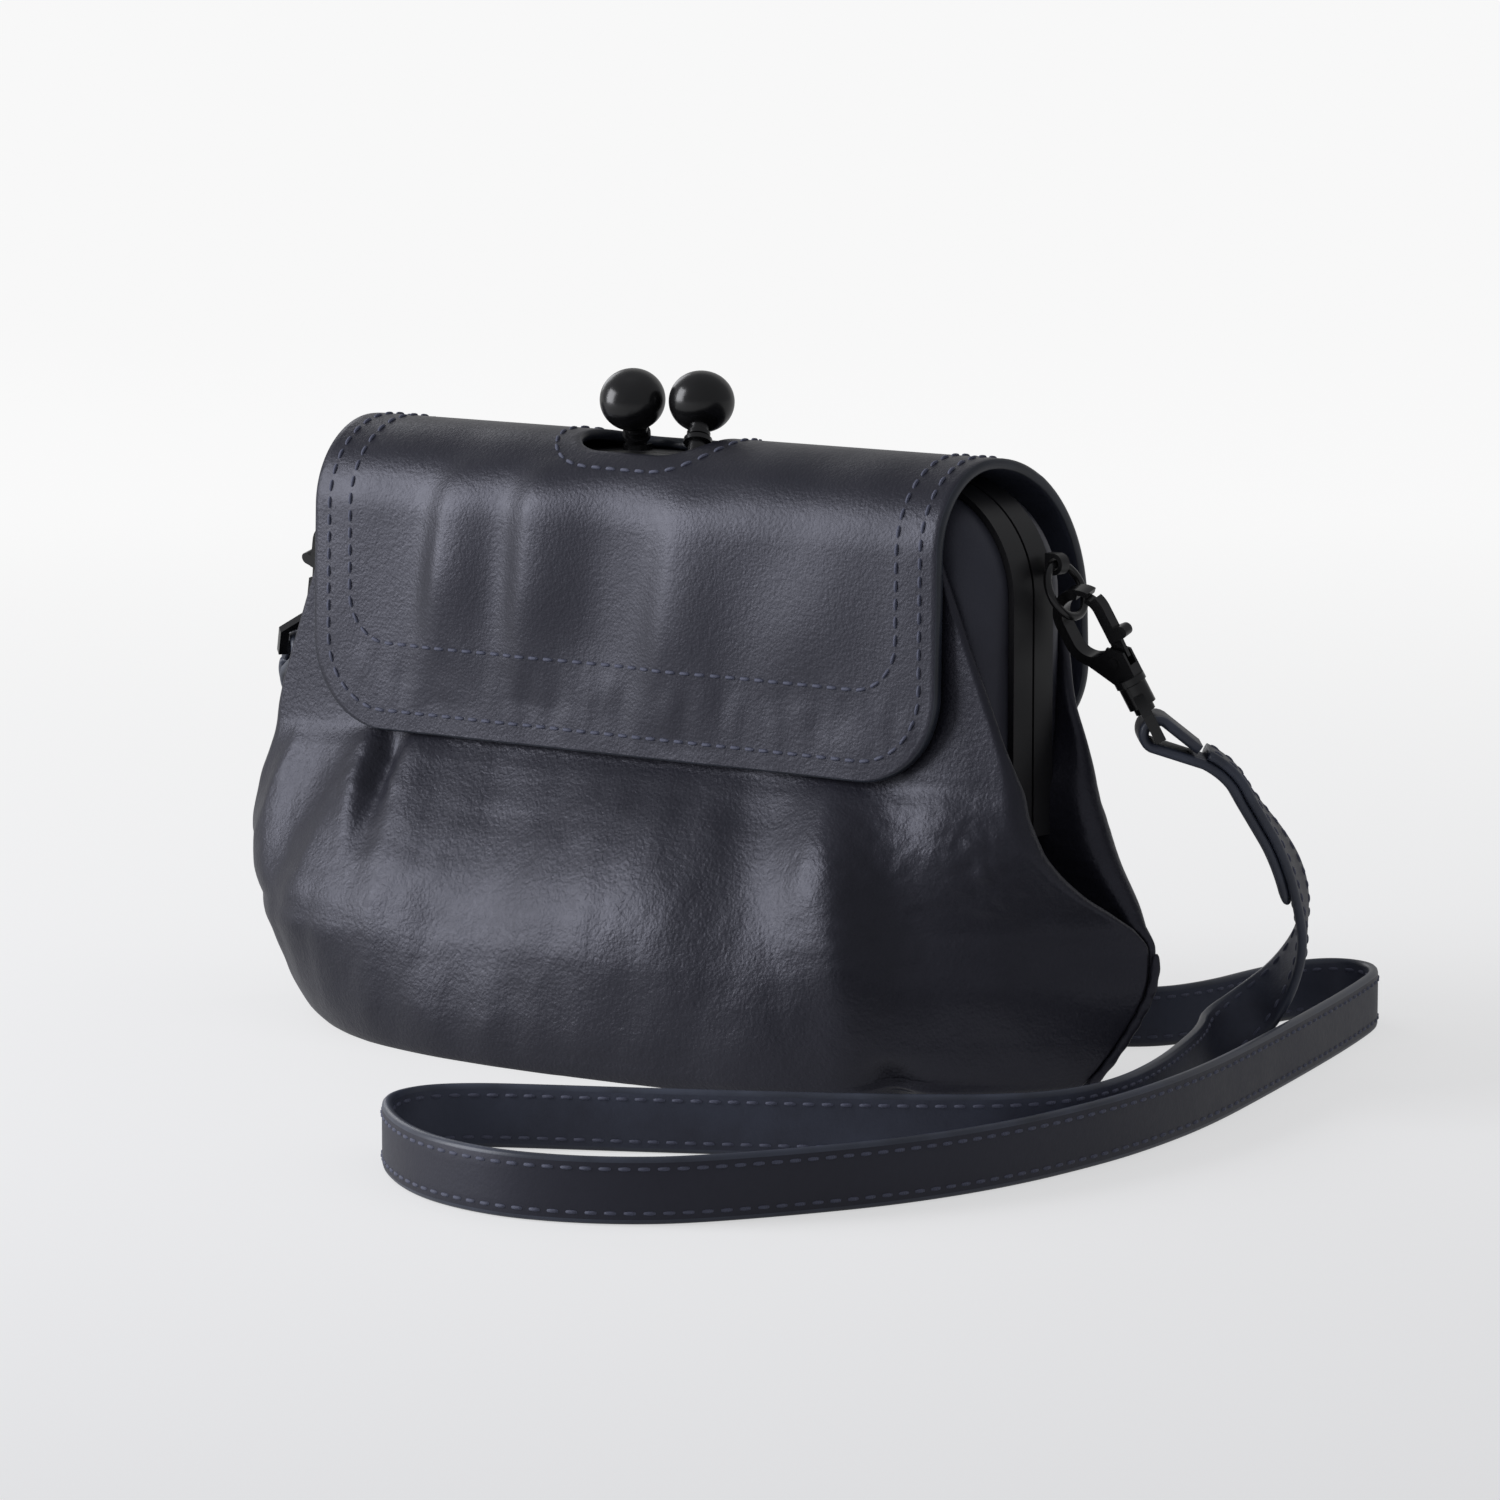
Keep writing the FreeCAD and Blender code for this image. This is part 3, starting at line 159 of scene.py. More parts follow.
def leather_group():
    """Pores, fine creases and slow rubbing of smooth waxed leather."""
    group, given, end = group_of(
        "Waxed leather surface",
        {"Pore size": 0.0011, "Crease depth": 0.5, "Base roughness": 0.4,
         "Base": (0.02, 0.02, 0.03, 1), "Rubbed": (0.04, 0.04, 0.05, 1)},
        ("Colour", "Roughness", "Height"))
    pores = texture(group, given, "ShaderNodeTexVoronoi", {
        "Scale": math_node(group, "DIVIDE", 1.0, given["Pore size"]), "Detail": 0.7,
        "Smoothness": 0.6}, feature="SMOOTH_F1").outputs["Distance"]
    creases = texture(group, given, "ShaderNodeTexNoise", {
        "Scale": 560, "Detail": 6, "Roughness": 0.62, "Distortion": 0.4}).outputs["Fac"]
    slow = texture(group, given, "ShaderNodeTexNoise", {
        "Scale": 26, "Detail": 4, "Roughness": 0.6})
    rub = node(group, "ShaderNodeMapRange", {0: slow.outputs["Fac"], 1: 0.42, 2: 0.74})
    rub = rub.outputs["Result"]
    mix = node(group, "ShaderNodeMix", {"Factor": rub, "A": given["Base"], "B": given["Rubbed"]},
               data_type="RGBA")
    pore_height = math_node(group, "MULTIPLY", pores, 0.22)
    crease_height = math_node(group, "MULTIPLY", creases, given["Crease depth"])
    worn = math_node(group, "MULTIPLY", rub, -0.08)
    rough = math_node(group, "ADD", worn, math_node(group, "MULTIPLY", creases, 0.14))
    connect(group, end, {
        "Colour": mix.outputs["Result"],
        "Roughness": math_node(group, "ADD", rough, given["Base roughness"], clamp=True),
        "Height": math_node(group, "ADD", pore_height, crease_height)})
    return group


def lacquer_group():
    """Faint cloudiness and dust of a dark lacquer."""
    group, given, end = group_of(
        "Dark lacquer surface", {"Base roughness": 0.35, "Base": (0.01, 0.01, 0.01, 1)},
        ("Colour", "Roughness", "Height"))
    cloud = texture(group, given, "ShaderNodeTexNoise", {"Scale": 90, "Detail": 5}).outputs["Fac"]
    dust = texture(group, given, "ShaderNodeTexNoise", {"Scale": 1500, "Detail": 2}).outputs["Fac"]
    value = node(group, "ShaderNodeMapRange", {0: cloud, 1: 0.3, 2: 0.7, 3: 0.75, 4: 1.35})
    tint = node(group, "ShaderNodeHueSaturation", {
        "Color": given["Base"], "Value": value.outputs["Result"]})
    spread = math_node(group, "MULTIPLY", cloud, 0.12)
    connect(group, end, {
        "Colour": tint.outputs["Color"],
        "Roughness": math_node(group, "ADD", spread, given["Base roughness"], clamp=True),
        "Height": dust})
    return group


def weave_group():
    """Over-and-under threads for the lining and the twist of the sewing thread."""
    group, given, end = group_of(
        "Twisted yarn surface",
        {"Threads per metre": 2000.0, "Base": (0.03, 0.03, 0.04, 1)}, ("Colour", "Height"))
    waves = [texture(group, given, "ShaderNodeTexWave", {
        "Scale": given["Threads per metre"], "Distortion": 0.6, "Detail": 1.0},
        bands_direction=direction, wave_profile="SIN").outputs["Fac"] for direction in "XZ"]
    height = math_node(group, "MULTIPLY", *waves)
    # Colour follows the thread height: painted shade in the hollows between threads, painted light
    # on their tops
    value = math_node(group, "ADD", math_node(group, "MULTIPLY", height, 0.7), 0.65)
    tint = node(group, "ShaderNodeHueSaturation", {"Color": given["Base"], "Value": value})
    connect(group, end, {"Colour": tint.outputs["Color"], "Height": height})
    return group


def rgba(value):
    return (*value, 1.0)


def surface_material(name, group, settings, bump, **shader):
    """A Principled material that takes its colour, roughness and bump from a group.

    The bump is its strength and its height in metres."""
    material = bpy.data.materials.new(name)
    material.use_nodes = True
    tree = material.node_tree
    bsdf = tree.nodes["Principled BSDF"]
    place = node(tree, "ShaderNodeTexCoord").outputs["Object"]
    used = node(tree, "ShaderNodeGroup", {"Coordinates": place, **settings}, node_tree=group)
    raised = node(tree, "ShaderNodeBump", {
        "Strength": bump[0], "Distance": bump[1], "Height": used.outputs["Height"]})
    connect(tree, bsdf, {
        "Base Color": used.outputs["Colour"], "Normal": raised.outputs["Normal"]})
    if "Roughness" in used.outputs:
        connect(tree, bsdf, {"Roughness": used.outputs["Roughness"]})
    for key, value in shader.items():
        bsdf.inputs[key.replace("_", " ")].default_value = value
    return material


SHEEN = (0.84, 0.85, 1.0, 1.0)
# Finish: label, colour, colour where rubbed, roughness, crease depth, pore size, bump
LEATHERS = {
    "pouch": ("Waxed pouch leather", "leather", "leather_pale", 0.36, 0.6, 0.0009, (0.6, 0.0005)),
    "flap": ("Waxed flap leather", "leather", "leather_pale", 0.34, 0.45, 0.0008, (0.5, 0.0004)),
    "collar": ("Collar leather", "collar", "leather_pale", 0.4, 0.35, 0.0009, (0.4, 0.0002)),
    "strap": ("Strap leather", "strap", "leather", 0.42, 0.45, 0.0008, (0.45, 0.0002)),
    "reverse": ("Strap reverse leather", "reverse", "leather_pale", 0.5, 0.7, 0.0009,
                (0.5, 0.00025)),
}
# Finish: label, roughness, bump
LACQUERS = {
    "edge": ("Painted edge", 0.3, (0.15, 0.0001)),
    "strap_edge": ("Painted strap edge", 0.34, (0.15, 0.0001)),
    "frame": ("Matte frame lacquer", 0.42, (0.2, 0.00005)),
    "clasp": ("Satin clasp lacquer", 0.17, (0.08, 0.00004)),
}
# Finish: label, threads per metre, bump, roughness
YARNS = {
    "thread": ("Sewing thread", 1600.0, (0.5, 0.0001), 0.6),
    "lining": ("Lining cloth", 500.0, (0.6, 0.0003), 0.85),
}


def make_materials(colours):
    """All finishes of the purse by name."""
    finishes = {}
    group = leather_group()
    for name, (label, base, rubbed, rough, crease, pore, bump) in LEATHERS.items():
        finishes[name] = surface_material(
            label, group,
            {"Base": rgba(getattr(colours, base)), "Rubbed": rgba(getattr(colours, rubbed)),
             "Base roughness": rough, "Crease depth": crease, "Pore size": pore},
            bump, Specular_Tint=SHEEN)
    group = lacquer_group()
    for name, (label, rough, bump) in LACQUERS.items():
        finishes[name] = surface_material(
            label, group, {"Base": rgba(getattr(colours, name)), "Base roughness": rough}, bump)
    group = weave_group()
    for name, (label, threads, bump, rough) in YARNS.items():
        finishes[name] = surface_material(
            label, group,
            {"Base": rgba(getattr(colours, name)), "Threads per metre": threads}, bump,
            Roughness=rough)
    return finishes


FINISH = {}


# Mesh building: all shapes are worked out in millimetres


def place_object(name, data):
    """A new object in the scene."""
    made = bpy.data.objects.new(name, data)
    bpy.context.scene.collection.objects.link(made)
    return made


def add_object(name, verts, faces, materials, indices=None):
    """A smooth mesh from millimetres, each face with the number of its material."""
    mesh = bpy.data.meshes.new(name)
    mesh.from_pydata((np.asarray(verts) * MM).tolist(), [], faces)
    for material in materials:
        mesh.materials.append(material)
    if indices is not None:
        mesh.polygons.foreach_set("material_index", np.asarray(indices, np.int32))
    mesh.polygons.foreach_set("use_smooth", np.full(len(faces), True))
    mesh.update()
    mesh.validate()
    return place_object(name, mesh)


def smooth_curve(knots, values, places):
    """Monotone cubic through the knots, so that nothing overshoots."""
    x = np.asarray(knots, float)
    y = np.asarray(values, float)
    step = np.diff(x)
    rise = np.diff(y) / step
    slope = np.zeros(len(x))
    slope[0], slope[-1] = rise[0], rise[-1]
    same = rise[1:] * rise[:-1] > 0
    slope[1:-1][same] = 2 * rise[1:][same] * rise[:-1][same] / (rise[1:] + rise[:-1])[same]
    q = np.clip(np.asarray(places, float), x[0], x[-1])
    k = np.clip(np.searchsorted(x, q) - 1, 0, len(step) - 1)
    t = (q - x[k]) / step[k]
    return ((1 + 2 * t) * (1 - t) ** 2 * y[k] + t * (1 - t) ** 2 * step[k] * slope[k]
            + t * t * (3 - 2 * t) * y[k + 1] + t * t * (t - 1) * step[k] * slope[k + 1])


def unit_rows(rows):
    """Vectors in rows, each made one long."""
    return rows / np.maximum(np.linalg.norm(rows, axis=-1, keepdims=True), 1e-9)


def grid_normals(points):
    """Unit normals of a grid of points, from its neighbours."""
    return unit_rows(np.cross(np.gradient(points, axis=1), np.gradient(points, axis=0)))


def grid_faces(rows, columns, keep=None):
    """Faces of a grid, or only those marked in keep."""
    faces = []
    for r in range(rows - 1):
        for c in range(columns - 1):
            if keep is None or keep[r, c]:
                a = r * columns + c
                faces.append((a, a + 1, a + columns + 1, a + columns))
    return faces


def tube_faces(rings, around, flip=False, start=0):
    """Faces of a tube of closed rings, with its two ends last."""
    faces = []
    for r in range(rings - 1):
        for k in range(around):
            a = start + r * around + k
            b = start + r * around + (k + 1) % around
            faces.append((a, a + around, b + around, b) if flip
                         else (a, b, b + around, a + around))
    last = start + (rings - 1) * around
    ends = [tuple(start + k for k in reversed(range(around))),
            tuple(last + k for k in range(around))]
    return faces + [end[::-1] if flip else end for end in ends]


def arc(across, up, radius, first, last, count):
    """Points of an arc from one angle to another, in degrees."""
    turns = np.radians(np.linspace(first, last, count))
    return [(across + radius * math.cos(t), up + radius * math.sin(t)) for t in turns]


def run_lengths(points):
    """Length along a polyline up to each of its points."""
    step = np.linalg.norm(np.diff(points, axis=0), axis=1)
    return np.concatenate([[0], np.cumsum(step)])


def sheet_parts(points, normals, faces, thickness, bulge, steps=4):
    """Gives a surface a thickness behind it and a rounded cut edge all round.

    Returns vertices, faces and the part of each face: 0 front, 1 back, 2 cut edge."""
    used = sorted({v for face in faces for v in face})
    index = {old: new for new, old in enumerate(used)}
    faces = [tuple(index[v] for v in face) for face in faces]
    points = points[used]
    normals = normals[used]
    count = len(points)
    verts = [points, points - normals * thickness]
    made = list(faces)
    parts = [0] * len(faces)
    made += [tuple(v + count for v in reversed(face)) for face in faces]
    parts += [1] * len(faces)
    owners = {}
    for face in faces:
        for a, b in zip(face, face[1:] + face[:1]):
            owners[(a, b)] = owners.get((a, b), 0) + 1
    border = [edge for edge in owners if (edge[1], edge[0]) not in owners]
    outward = {}
    for a, b in border:
        way = np.cross(points[b] - points[a], normals[a])
        for v in (a, b):
            outward[v] = outward.get(v, 0) + way
    rim = {}
    total = 2 * count
    extra = []
    for v, way in outward.items():
        way = unit_rows(way)
        ring = [v]
        for step in range(1, steps):
            turn = math.pi * step / steps
            depth = thickness / 2 * (1 - math.cos(turn))
            extra.append(points[v] - normals[v] * depth + way * (bulge * math.sin(turn)))
            ring.append(total)
            total += 1
        ring.append(v + count)
        rim[v] = ring
    for a, b in border:
        for step in range(steps):
            made.append((rim[b][step], rim[a][step], rim[a][step + 1], rim[b][step + 1]))
            parts.append(2)
    return np.concatenate(verts + [np.array(extra)]), made, parts


def stitch_mesh(name, spots, headings, normals, sizes, sunk=0.0):
    """Separate short stitches laid along a line, each sunk a little into the leather."""
    radius = sizes.thread / MM / 2
    half = sizes.stitch_length / MM / 2
    around = 6
    # place along the stitch, share of its radius and lift off the leather, in radii
    rings = ((-1.0, 0.25, -0.75), (-0.72, 0.85, -0.05), (-0.25, 1.0, 0.2),
             (0.25, 1.0, 0.2), (0.72, 0.85, -0.05), (1.0, 0.25, -0.75))
    verts, faces = [], []
    for spot, heading, normal in zip(spots, headings, normals):
        side = np.cross(normal, heading)
        base = len(verts)
        for place, width, lift in rings:
            centre = spot + heading * (place * half) + normal * ((lift - sunk) * radius)
            for k in range(around):
                turn = 2 * math.pi * k / around
                verts.append(centre + (side * math.cos(turn) + normal * math.sin(turn))
                             * (radius * width))
        faces += tube_faces(len(rings), around, start=base)
    return add_object(name, verts, faces, [FINISH["thread"]])


def along_line(points, pitch):
    """Evenly spaced places on a polyline, and how far along it each one is."""
    points = np.asarray(points, float)
    run = run_lengths(points)
    count = max(int(run[-1] / pitch), 1)
    places = (np.arange(count) + 0.5) * run[-1] / count
    found = np.stack([np.interp(places, run, points[:, k]) for k in range(points.shape[1])], 1)
    return found, places


def wrinkle(points, scale, height, seed):
    """Slow noise of a height at each point; scale is its size in millimetres."""
    flat = np.asarray(points).reshape(-1, 3)
    values = [noise.noise(Vector((p[0] / scale[0] + seed, p[1] / scale[1], p[2] / scale[2])))
              for p in flat]
    return np.array(values).reshape(np.asarray(points).shape[:-1]) * height


def fold_depth(x, z, folds):
    """Height of soft folds; each runs down through (z, x, height) and has two flank widths."""
    total = np.zeros(np.shape(x))
    for places, (left, right) in folds:
        rows = np.array(sorted(places))
        middle = smooth_curve(rows[:, 0], rows[:, 1], z)
        height = smooth_curve(rows[:, 0], rows[:, 2], z)
        height = np.where((z < rows[0, 0]) | (z > rows[-1, 0]), 0, height)
        off = x - middle
        width = np.where(off < 0, left, right)
        total += height * np.exp(-(off / width) ** 2)
    return total


# Pouch

# Height, front depth, back depth and reach of the sides; the front is a little fuller than the
# CAD solid
POUCH_ROWS = np.array([
    (0.0, 45.6, 38.0, 114.6),
    (4.0, 47.5, 42.6, 120.3),
    (13.9, 48.8, 47.0, 125.1),
    (28.0, 49.0, 49.0, 128.0),
    (36.0, 48.0, 48.3, 127.5),
    (44.0, 45.5, 45.6, 124.5),
    (50.0, 42.6, 43.1, 122.5),
    (60.0, 36.4, 39.9, 119.6),
    (69.9, 28.6, 36.5, 116.5),
    (76.0, 23.8, 34.5, 115.0),
    (82.0, 22.8, 33.2, 113.0),
    (90.0, 22.4, 31.5, 109.9),
    (110.0, 22.1, 27.2, 102.0),
    (134.0, 22.1, 22.1, 92.0),
])
# How the soft sides lie: height, more reach, seam moved back, depth of the front and of the back
# panel's side edge, roundness of the plan
SIDE_ROWS = {
    "left": np.array([
        (0.0, 0.0, 0.0, 0.3, 0.3, 3.4),
        (14.0, 0.0, 0.0, 0.3, 0.3, 4.4),
        (22.0, 0.0, 0.0, 0.3, 0.3, 5.2),
        (29.0, 0.0, 0.0, 0.6, 0.5, 6.0),
        (34.0, 0.0, 0.0, 6.0, 2.0, 6.0),
        (38.0, 0.0, 0.0, 12.0, 7.0, 5.6),
        (42.0, 0.0, 0.0, 17.0, 14.0, 5.0),
        (46.0, 0.0, 0.0, 20.5, 19.0, 4.6),
        (51.0, 0.0, 0.0, 22.4, 22.0, 4.2),
        (60.0, 0.0, 0.0, 22.8, 22.8, 4.0),
        (76.0, 0.0, 0.0, 21.1, 21.1, 4.0),
        (90.0, 0.0, 0.0, 21.2, 21.2, 4.0),
        (134.0, 0.0, 0.0, 22.1, 22.1, 4.0)]),
    "right": np.array([
        (0.0, 0.0, 0.0, 0.3, 0.3, 4.0),
        (10.0, 1.5, 4.0, 0.3, 0.3, 4.0),
        (20.0, 3.0, 8.5, 0.3, 0.3, 4.0),
        (30.0, 4.0, 12.0, 0.3, 0.3, 4.0),
        (36.0, 4.0, 13.0, 0.6, 0.6, 4.0),
        (40.0, 3.5, 11.5, 3.0, 3.0, 4.0),
        (44.0, 2.5, 9.0, 7.0, 7.5, 4.0),
        (50.0, 1.2, 5.0, 13.5, 12.5, 4.0),
        (56.0, 0.4, 2.0, 17.8, 15.0, 4.0),
        (62.0, 0.0, 0.3, 20.5, 16.5, 4.0),
        (70.0, 0.0, 0.0, 21.8, 15.5, 4.0),
        (76.0, 0.0, 0.0, 21.1, 15.0, 4.0),
        (90.0, 0.0, 0.0, 21.2, 14.5, 4.0),
        (110.0, 0.0, 0.0, 22.1, 20.0, 4.0),
        (134.0, 0.0, 0.0, 22.1, 22.1, 4.0)]),
}
# Height, radius of the rolled side edge, and where the turned-in leather ends: across and depth
EDGE_ROWS = np.array([
    (0.0, 0.8, 106.0, 0.4),
    (13.9, 0.9, 116.5, 0.4),
    (28.0, 1.0, 119.5, 0.4),
    (36.0, 1.2, 118.5, 0.4),
    (41.0, 2.2, 115.0, 0.4),
    (46.0, 3.6, 106.0, 0.4),
    (52.0, 4.6, 95.0, 0.4),
    (60.0, 5.0, 90.5, 0.4),
    (72.0, 4.2, 90.5, 0.6),
    (80.0, 2.6, 94.5, 7.0),
    (88.0, 1.6, 98.0, 12.6),
    (126.0, 1.3, 90.0, 16.6),
    (134.0, 1.3, 86.0, 16.6),
])
# Height, depth and reach of the lining
LINING_ROWS = np.array([
    (5.2, 30.0, 89.0), (8, 35.2, 99.3), (16, 40.2, 104.5), (28, 43.0, 105.7), (36, 41.5, 104.4),
    (44, 37.2, 94.2), (52, 32.0, 84.0), (63, 25.5, 83.4), (76, 19.1, 83.4), (100, 18.0, 83.4),
    (128, 18.0, 83.4)])
LINING_EDGE = 9.4
# Thickness and bulge of the cut edge
BOTTOM_SHEET = (1.6, 0.3)
GUSSET_SHEET = (0.9, 0.2)
LINING_SHEET = (0.5, 0.1)
PANEL_BULGE = 0.4
GUSSET_BEHIND = 1.9
# Bottom panel: half width, depth to the front and to the back, hollow of its middle
BOTTOM_HALF = 110.0
BOTTOM_FRONT = 43.0
BOTTOM_BACK = 35.4
BOTTOM_HOLLOW = 0.35
# Welt: how far out it lies, its radius, and depth and pitch of its puckers
WELT_OUT = 1.2
WELT_RADIUS = 1.15
PUCKER = 0.12
PUCKER_PITCH = 4.3
SEAM_GAP = 0.3
ROLL_GAP = 0.35
# Heights between which the welts, gussets and lining run, and the panels' rows with their counts
WELT_HEIGHTS = (3.4, 35)
GUSSET_HEIGHTS = (41, 126)
LINING_HEIGHTS = (5.2, 128)
PANEL_HEIGHTS = ((0, 8, 14), (8, 84, 84), (84, 133.5, 28))
# Wrinkles: size across, in depth and up, then height
SOFT_WRINKLE = ((10, 30, 24), 0.6)
FINE_WRINKLE = ((4, 12, 6), 0.16)
CRINKLE = ((4.5, 9, 3.4), 1.3)
LINING_WRINKLE = ((14, 30, 30), 0.5)
# The panels are wrinkled up to a height and smooth out before it, and before the floor
WRINKLE_TOP = 78
WRINKLE_FADE = 10
# The panel goes this far along the leather that runs in, and the gusset goes on behind it
PANEL_RUN = 0.62
# How far the leather that runs in sags for its length, and which way: across and in depth
SAG_SHARE = 0.09
SAG_WAY = np.array([-0.75, 0.66])

# Each fold: height, place across and how far it stands out along its crest, then the widths of
# its left and right flank
FRONT_FOLDS = [
    ([(77, -79, 0.2), (70, -78.5, 1.9), (62, -77.5, 1.8), (52, -76, 0.7), (44, -75, 0)], (5, 3.5)),
    ([(77, -72.5, -0.4), (70, -72, -3.0), (62, -71, -2.5), (53, -69.5, -0.8), (45, -68, 0)],
     (3, 5)),
    ([(77, -64, 0.2), (70, -64, 1.8), (61, -63, 1.5), (50, -61, 0.5), (40, -60, 0)], (5, 9)),
    ([(70, -95, 0), (60, -97, -1.3), (45, -99, -1.5), (28, -98, 0)], (9, 9)),
    ([(74, -106, 0.2), (60, -110, 1.6), (45, -112, 1.6), (28, -111, 0)], (8, 8)),
    ([(74, -30, 0), (58, -30, -1.2), (38, -30, -1.2), (18, -30, 0)], (18, 18)),
    ([(74, 14, 0), (58, 16, 1.6), (40, 18, 2.2), (22, 18, 1.4), (6, 18, 0)], (26, 24)),
    ([(75, 44, -0.2), (64, 46, -1.8), (50, 49, -2.2), (36, 53, -1.2), (22, 57, 0)], (10, 10)),
    ([(75, 66, 0.3), (66, 70, 2.8), (53, 74, 4.5), (41, 78, 4.3), (29, 82, 2.8), (17, 85, 1.2),
      (7, 87, 0)], (9.5, 10)),
    ([(77, 78, -0.2), (66, 83, -1.4), (53, 88, -2.6), (41, 91, -3.2), (29, 93, -3.0),
      (16, 93, -2.6), (4, 91, -2.4)], (8, 16)),
    ([(98, 92, 0), (88, 93, 0.4), (80, 94.5, 0.8), (72, 98, 1.1), (60, 103, 1.3), (46, 108, 1.5),
      (32, 110, 1.2), (16, 110, 0)], (12, 12)),
    ([(12, 89, 0), (6, 89, -2.2), (0, 89, -3.0)], (4, 5)),
    ([(60, -15, 0), (40, -15, 1.5), (20, -15, 3.2), (6, -15, 4.2), (0, -15, 4.2)], (75, 50)),
]
# Places with crinkled leather: middle across and up, spread across and up
CRINKLES = [(84, 50, 11, 20), (-73, 66, 9, 9), (108, 62, 8, 16)]
BACK_FOLDS = [
    ([(76, -70, 0), (62, -72, 2.6), (44, -74, 2.2), (24, -76, 0)], (7, 4)),
    ([(76, -60, 0), (62, -61, -3.0), (44, -62, -2.4), (24, -62, 0)], (4, 8)),
    ([(74, -10, 0), (58, -8, 2.0), (36, -6, 2.0), (14, -6, 0)], (18, 20)),
    ([(76, 46, 0), (62, 49, -2.6), (44, 52, -2.6), (22, 54, 0)], (7, 4)),
    ([(76, 58, 0), (60, 61, 3.0), (42, 65, 2.8), (20, 70, 0)], (4, 9)),
]


def rows_at(table, z):
    """The columns of a table of heights, read off at the heights z."""
    return [smooth_curve(table[:, 0], table[:, k], z) for k in range(1, table.shape[1])]


def edge_roll(z, facing, side):
    """How the side edge of a panel rolls over and runs in, for each height.

    Depths count from the seam. Gives the panel's depth, half width, side depth, roundness and
    seam place, the middle, radius, first and last angle of the roll, and the two ends of the
    leather that runs in from it."""
    front, back, reach = rows_at(POUCH_ROWS, z)
    more, seam, front_end, back_end, power = rows_at(SIDE_ROWS[side], z)
    depth, end = (front, front_end) if facing < 0 else (back, back_end)
    radius, in_x, in_y = rows_at(EDGE_ROWS, z)
    lean = np.arctan(power * (depth - end) / reach)
    end = np.maximum(end, ROLL_GAP + radius * (1 + np.cos(lean)))
    reach = reach + more - radius * (1 - np.sin(lean))
    middle = np.stack([reach - radius * np.sin(lean), end - radius * np.cos(lean)], 1)
    inner = np.stack([in_x, in_y], 1)
    way = inner - middle
    angle = np.arctan2(way[:, 1], way[:, 0])
    angle = np.where(angle > 0, angle - 2 * math.pi, angle)
    last = angle + np.arccos(np.clip(radius / np.linalg.norm(way, axis=1), -1, 1))
    first = math.pi / 2 - lean
    leave = middle + radius[:, None] * np.stack([np.cos(last), np.sin(last)], 1)
    return (depth, reach, end, power, seam), (middle, radius, first, last), (leave, inner)


def run_in(leave, inner, shares):
    """Leather that sags a little on its way in from the rolled edge."""
    line = leave[:, None, :] + (inner - leave)[:, None, :] * shares[None, :, None]
    far = np.linalg.norm(inner - leave, axis=1)[:, None]
    sag = 4 * shares * (1 - shares) * far * SAG_SHARE
    return line + sag[..., None] * SAG_WAY


def panel_half(facing, side, u, z):
    """Half of a panel from its middle to the end of the turned-in leather: across, depth, seam."""
    panel, (middle, radius, first, last), ends = edge_roll(z, facing, side)
    depth, reach, end, power, seam = panel
    x = reach[:, None] * u
    y = end[:, None] + (depth - end)[:, None] * (1 - u ** power[:, None])
    turn = first[:, None] + (last - first)[:, None] * np.linspace(0, 1, 10)[None, 1:]
    roll = middle[:, None, :] + radius[:, None, None] * np.stack([np.cos(turn), np.sin(turn)], 2)
    rim = np.concatenate([roll, run_in(*ends, np.linspace(0, PANEL_RUN, 10)[1:])], 1)
    x = np.concatenate([x, rim[..., 0]], 1)
    y = np.concatenate([y, rim[..., 1]], 1)
    share = np.concatenate([u, np.ones(rim.shape[1])])
    return x, y, seam[:, None] * share ** 4, share


def panel_grid(facing, folds, seed):
    """Outer surface of a pouch panel with its rolled side edges as a grid, rows going up."""
    bow = math.pi / 2 * 0.93
    u = np.sin(np.linspace(0, bow, 96)) / math.sin(bow)
    z = np.unique(np.concatenate([np.linspace(*rows) for rows in PANEL_HEIGHTS]))
    left = panel_half(facing, "left", u, z)
    right = panel_half(facing, "right", u, z)
    x = np.concatenate([-left[0][:, :0:-1], right[0]], 1)
    y, seam = [np.concatenate([a[:, :0:-1], b], 1) for a, b in zip(left[1:3], right[1:3])]
    u = np.concatenate([left[3][:0:-1], right[3]])
    points = np.stack([x, y * facing + seam, np.broadcast_to(z[:, None], x.shape)], 2)
    normals = grid_normals(points) * (1 if facing < 0 else -1)
    up = points[..., 2]
    low = np.clip(up / WRINKLE_FADE, 0, 1) * np.clip((WRINKLE_TOP - up) / WRINKLE_FADE, 0, 1)
    fine = wrinkle(points, *SOFT_WRINKLE, seed) + wrinkle(points, *FINE_WRINKLE, seed + 9)
    crinkle = np.abs(wrinkle(points, *CRINKLE, seed + 31)) - 0.2 * CRINKLE[1]
    for cx, cz, across, along in CRINKLES:
        fine = fine + crinkle * np.exp(-((x - cx) / across) ** 2 - ((up - cz) / along) ** 2)
    edge = np.clip((1 - u) * 14, 0, 1)
    lift = fold_depth(x, up, folds) * edge + fine * low * np.maximum(edge, 0.55)
    points = points + normals * lift[..., None]
    points[..., 2] = np.maximum(points[..., 2], 0)
    points[..., 1] = seam + facing * np.maximum((points[..., 1] - seam) * facing, SEAM_GAP)
    return points


def grid_sheet(name, points, flip, sheet, materials):
    """A leather piece with thickness and bulging edges from a grid of its outer surface."""
    rows, columns = points.shape[:2]
    normals = grid_normals(points)
    faces = grid_faces(rows, columns)
    if flip:
        normals = -normals
        faces = [tuple(reversed(face)) for face in faces]
    verts, faces, parts = sheet_parts(
        points.reshape(-1, 3), normals.reshape(-1, 3), faces, *sheet)
    verts[:, 2] = np.maximum(verts[:, 2], 0)
    return add_object(name, verts, faces, materials, parts)


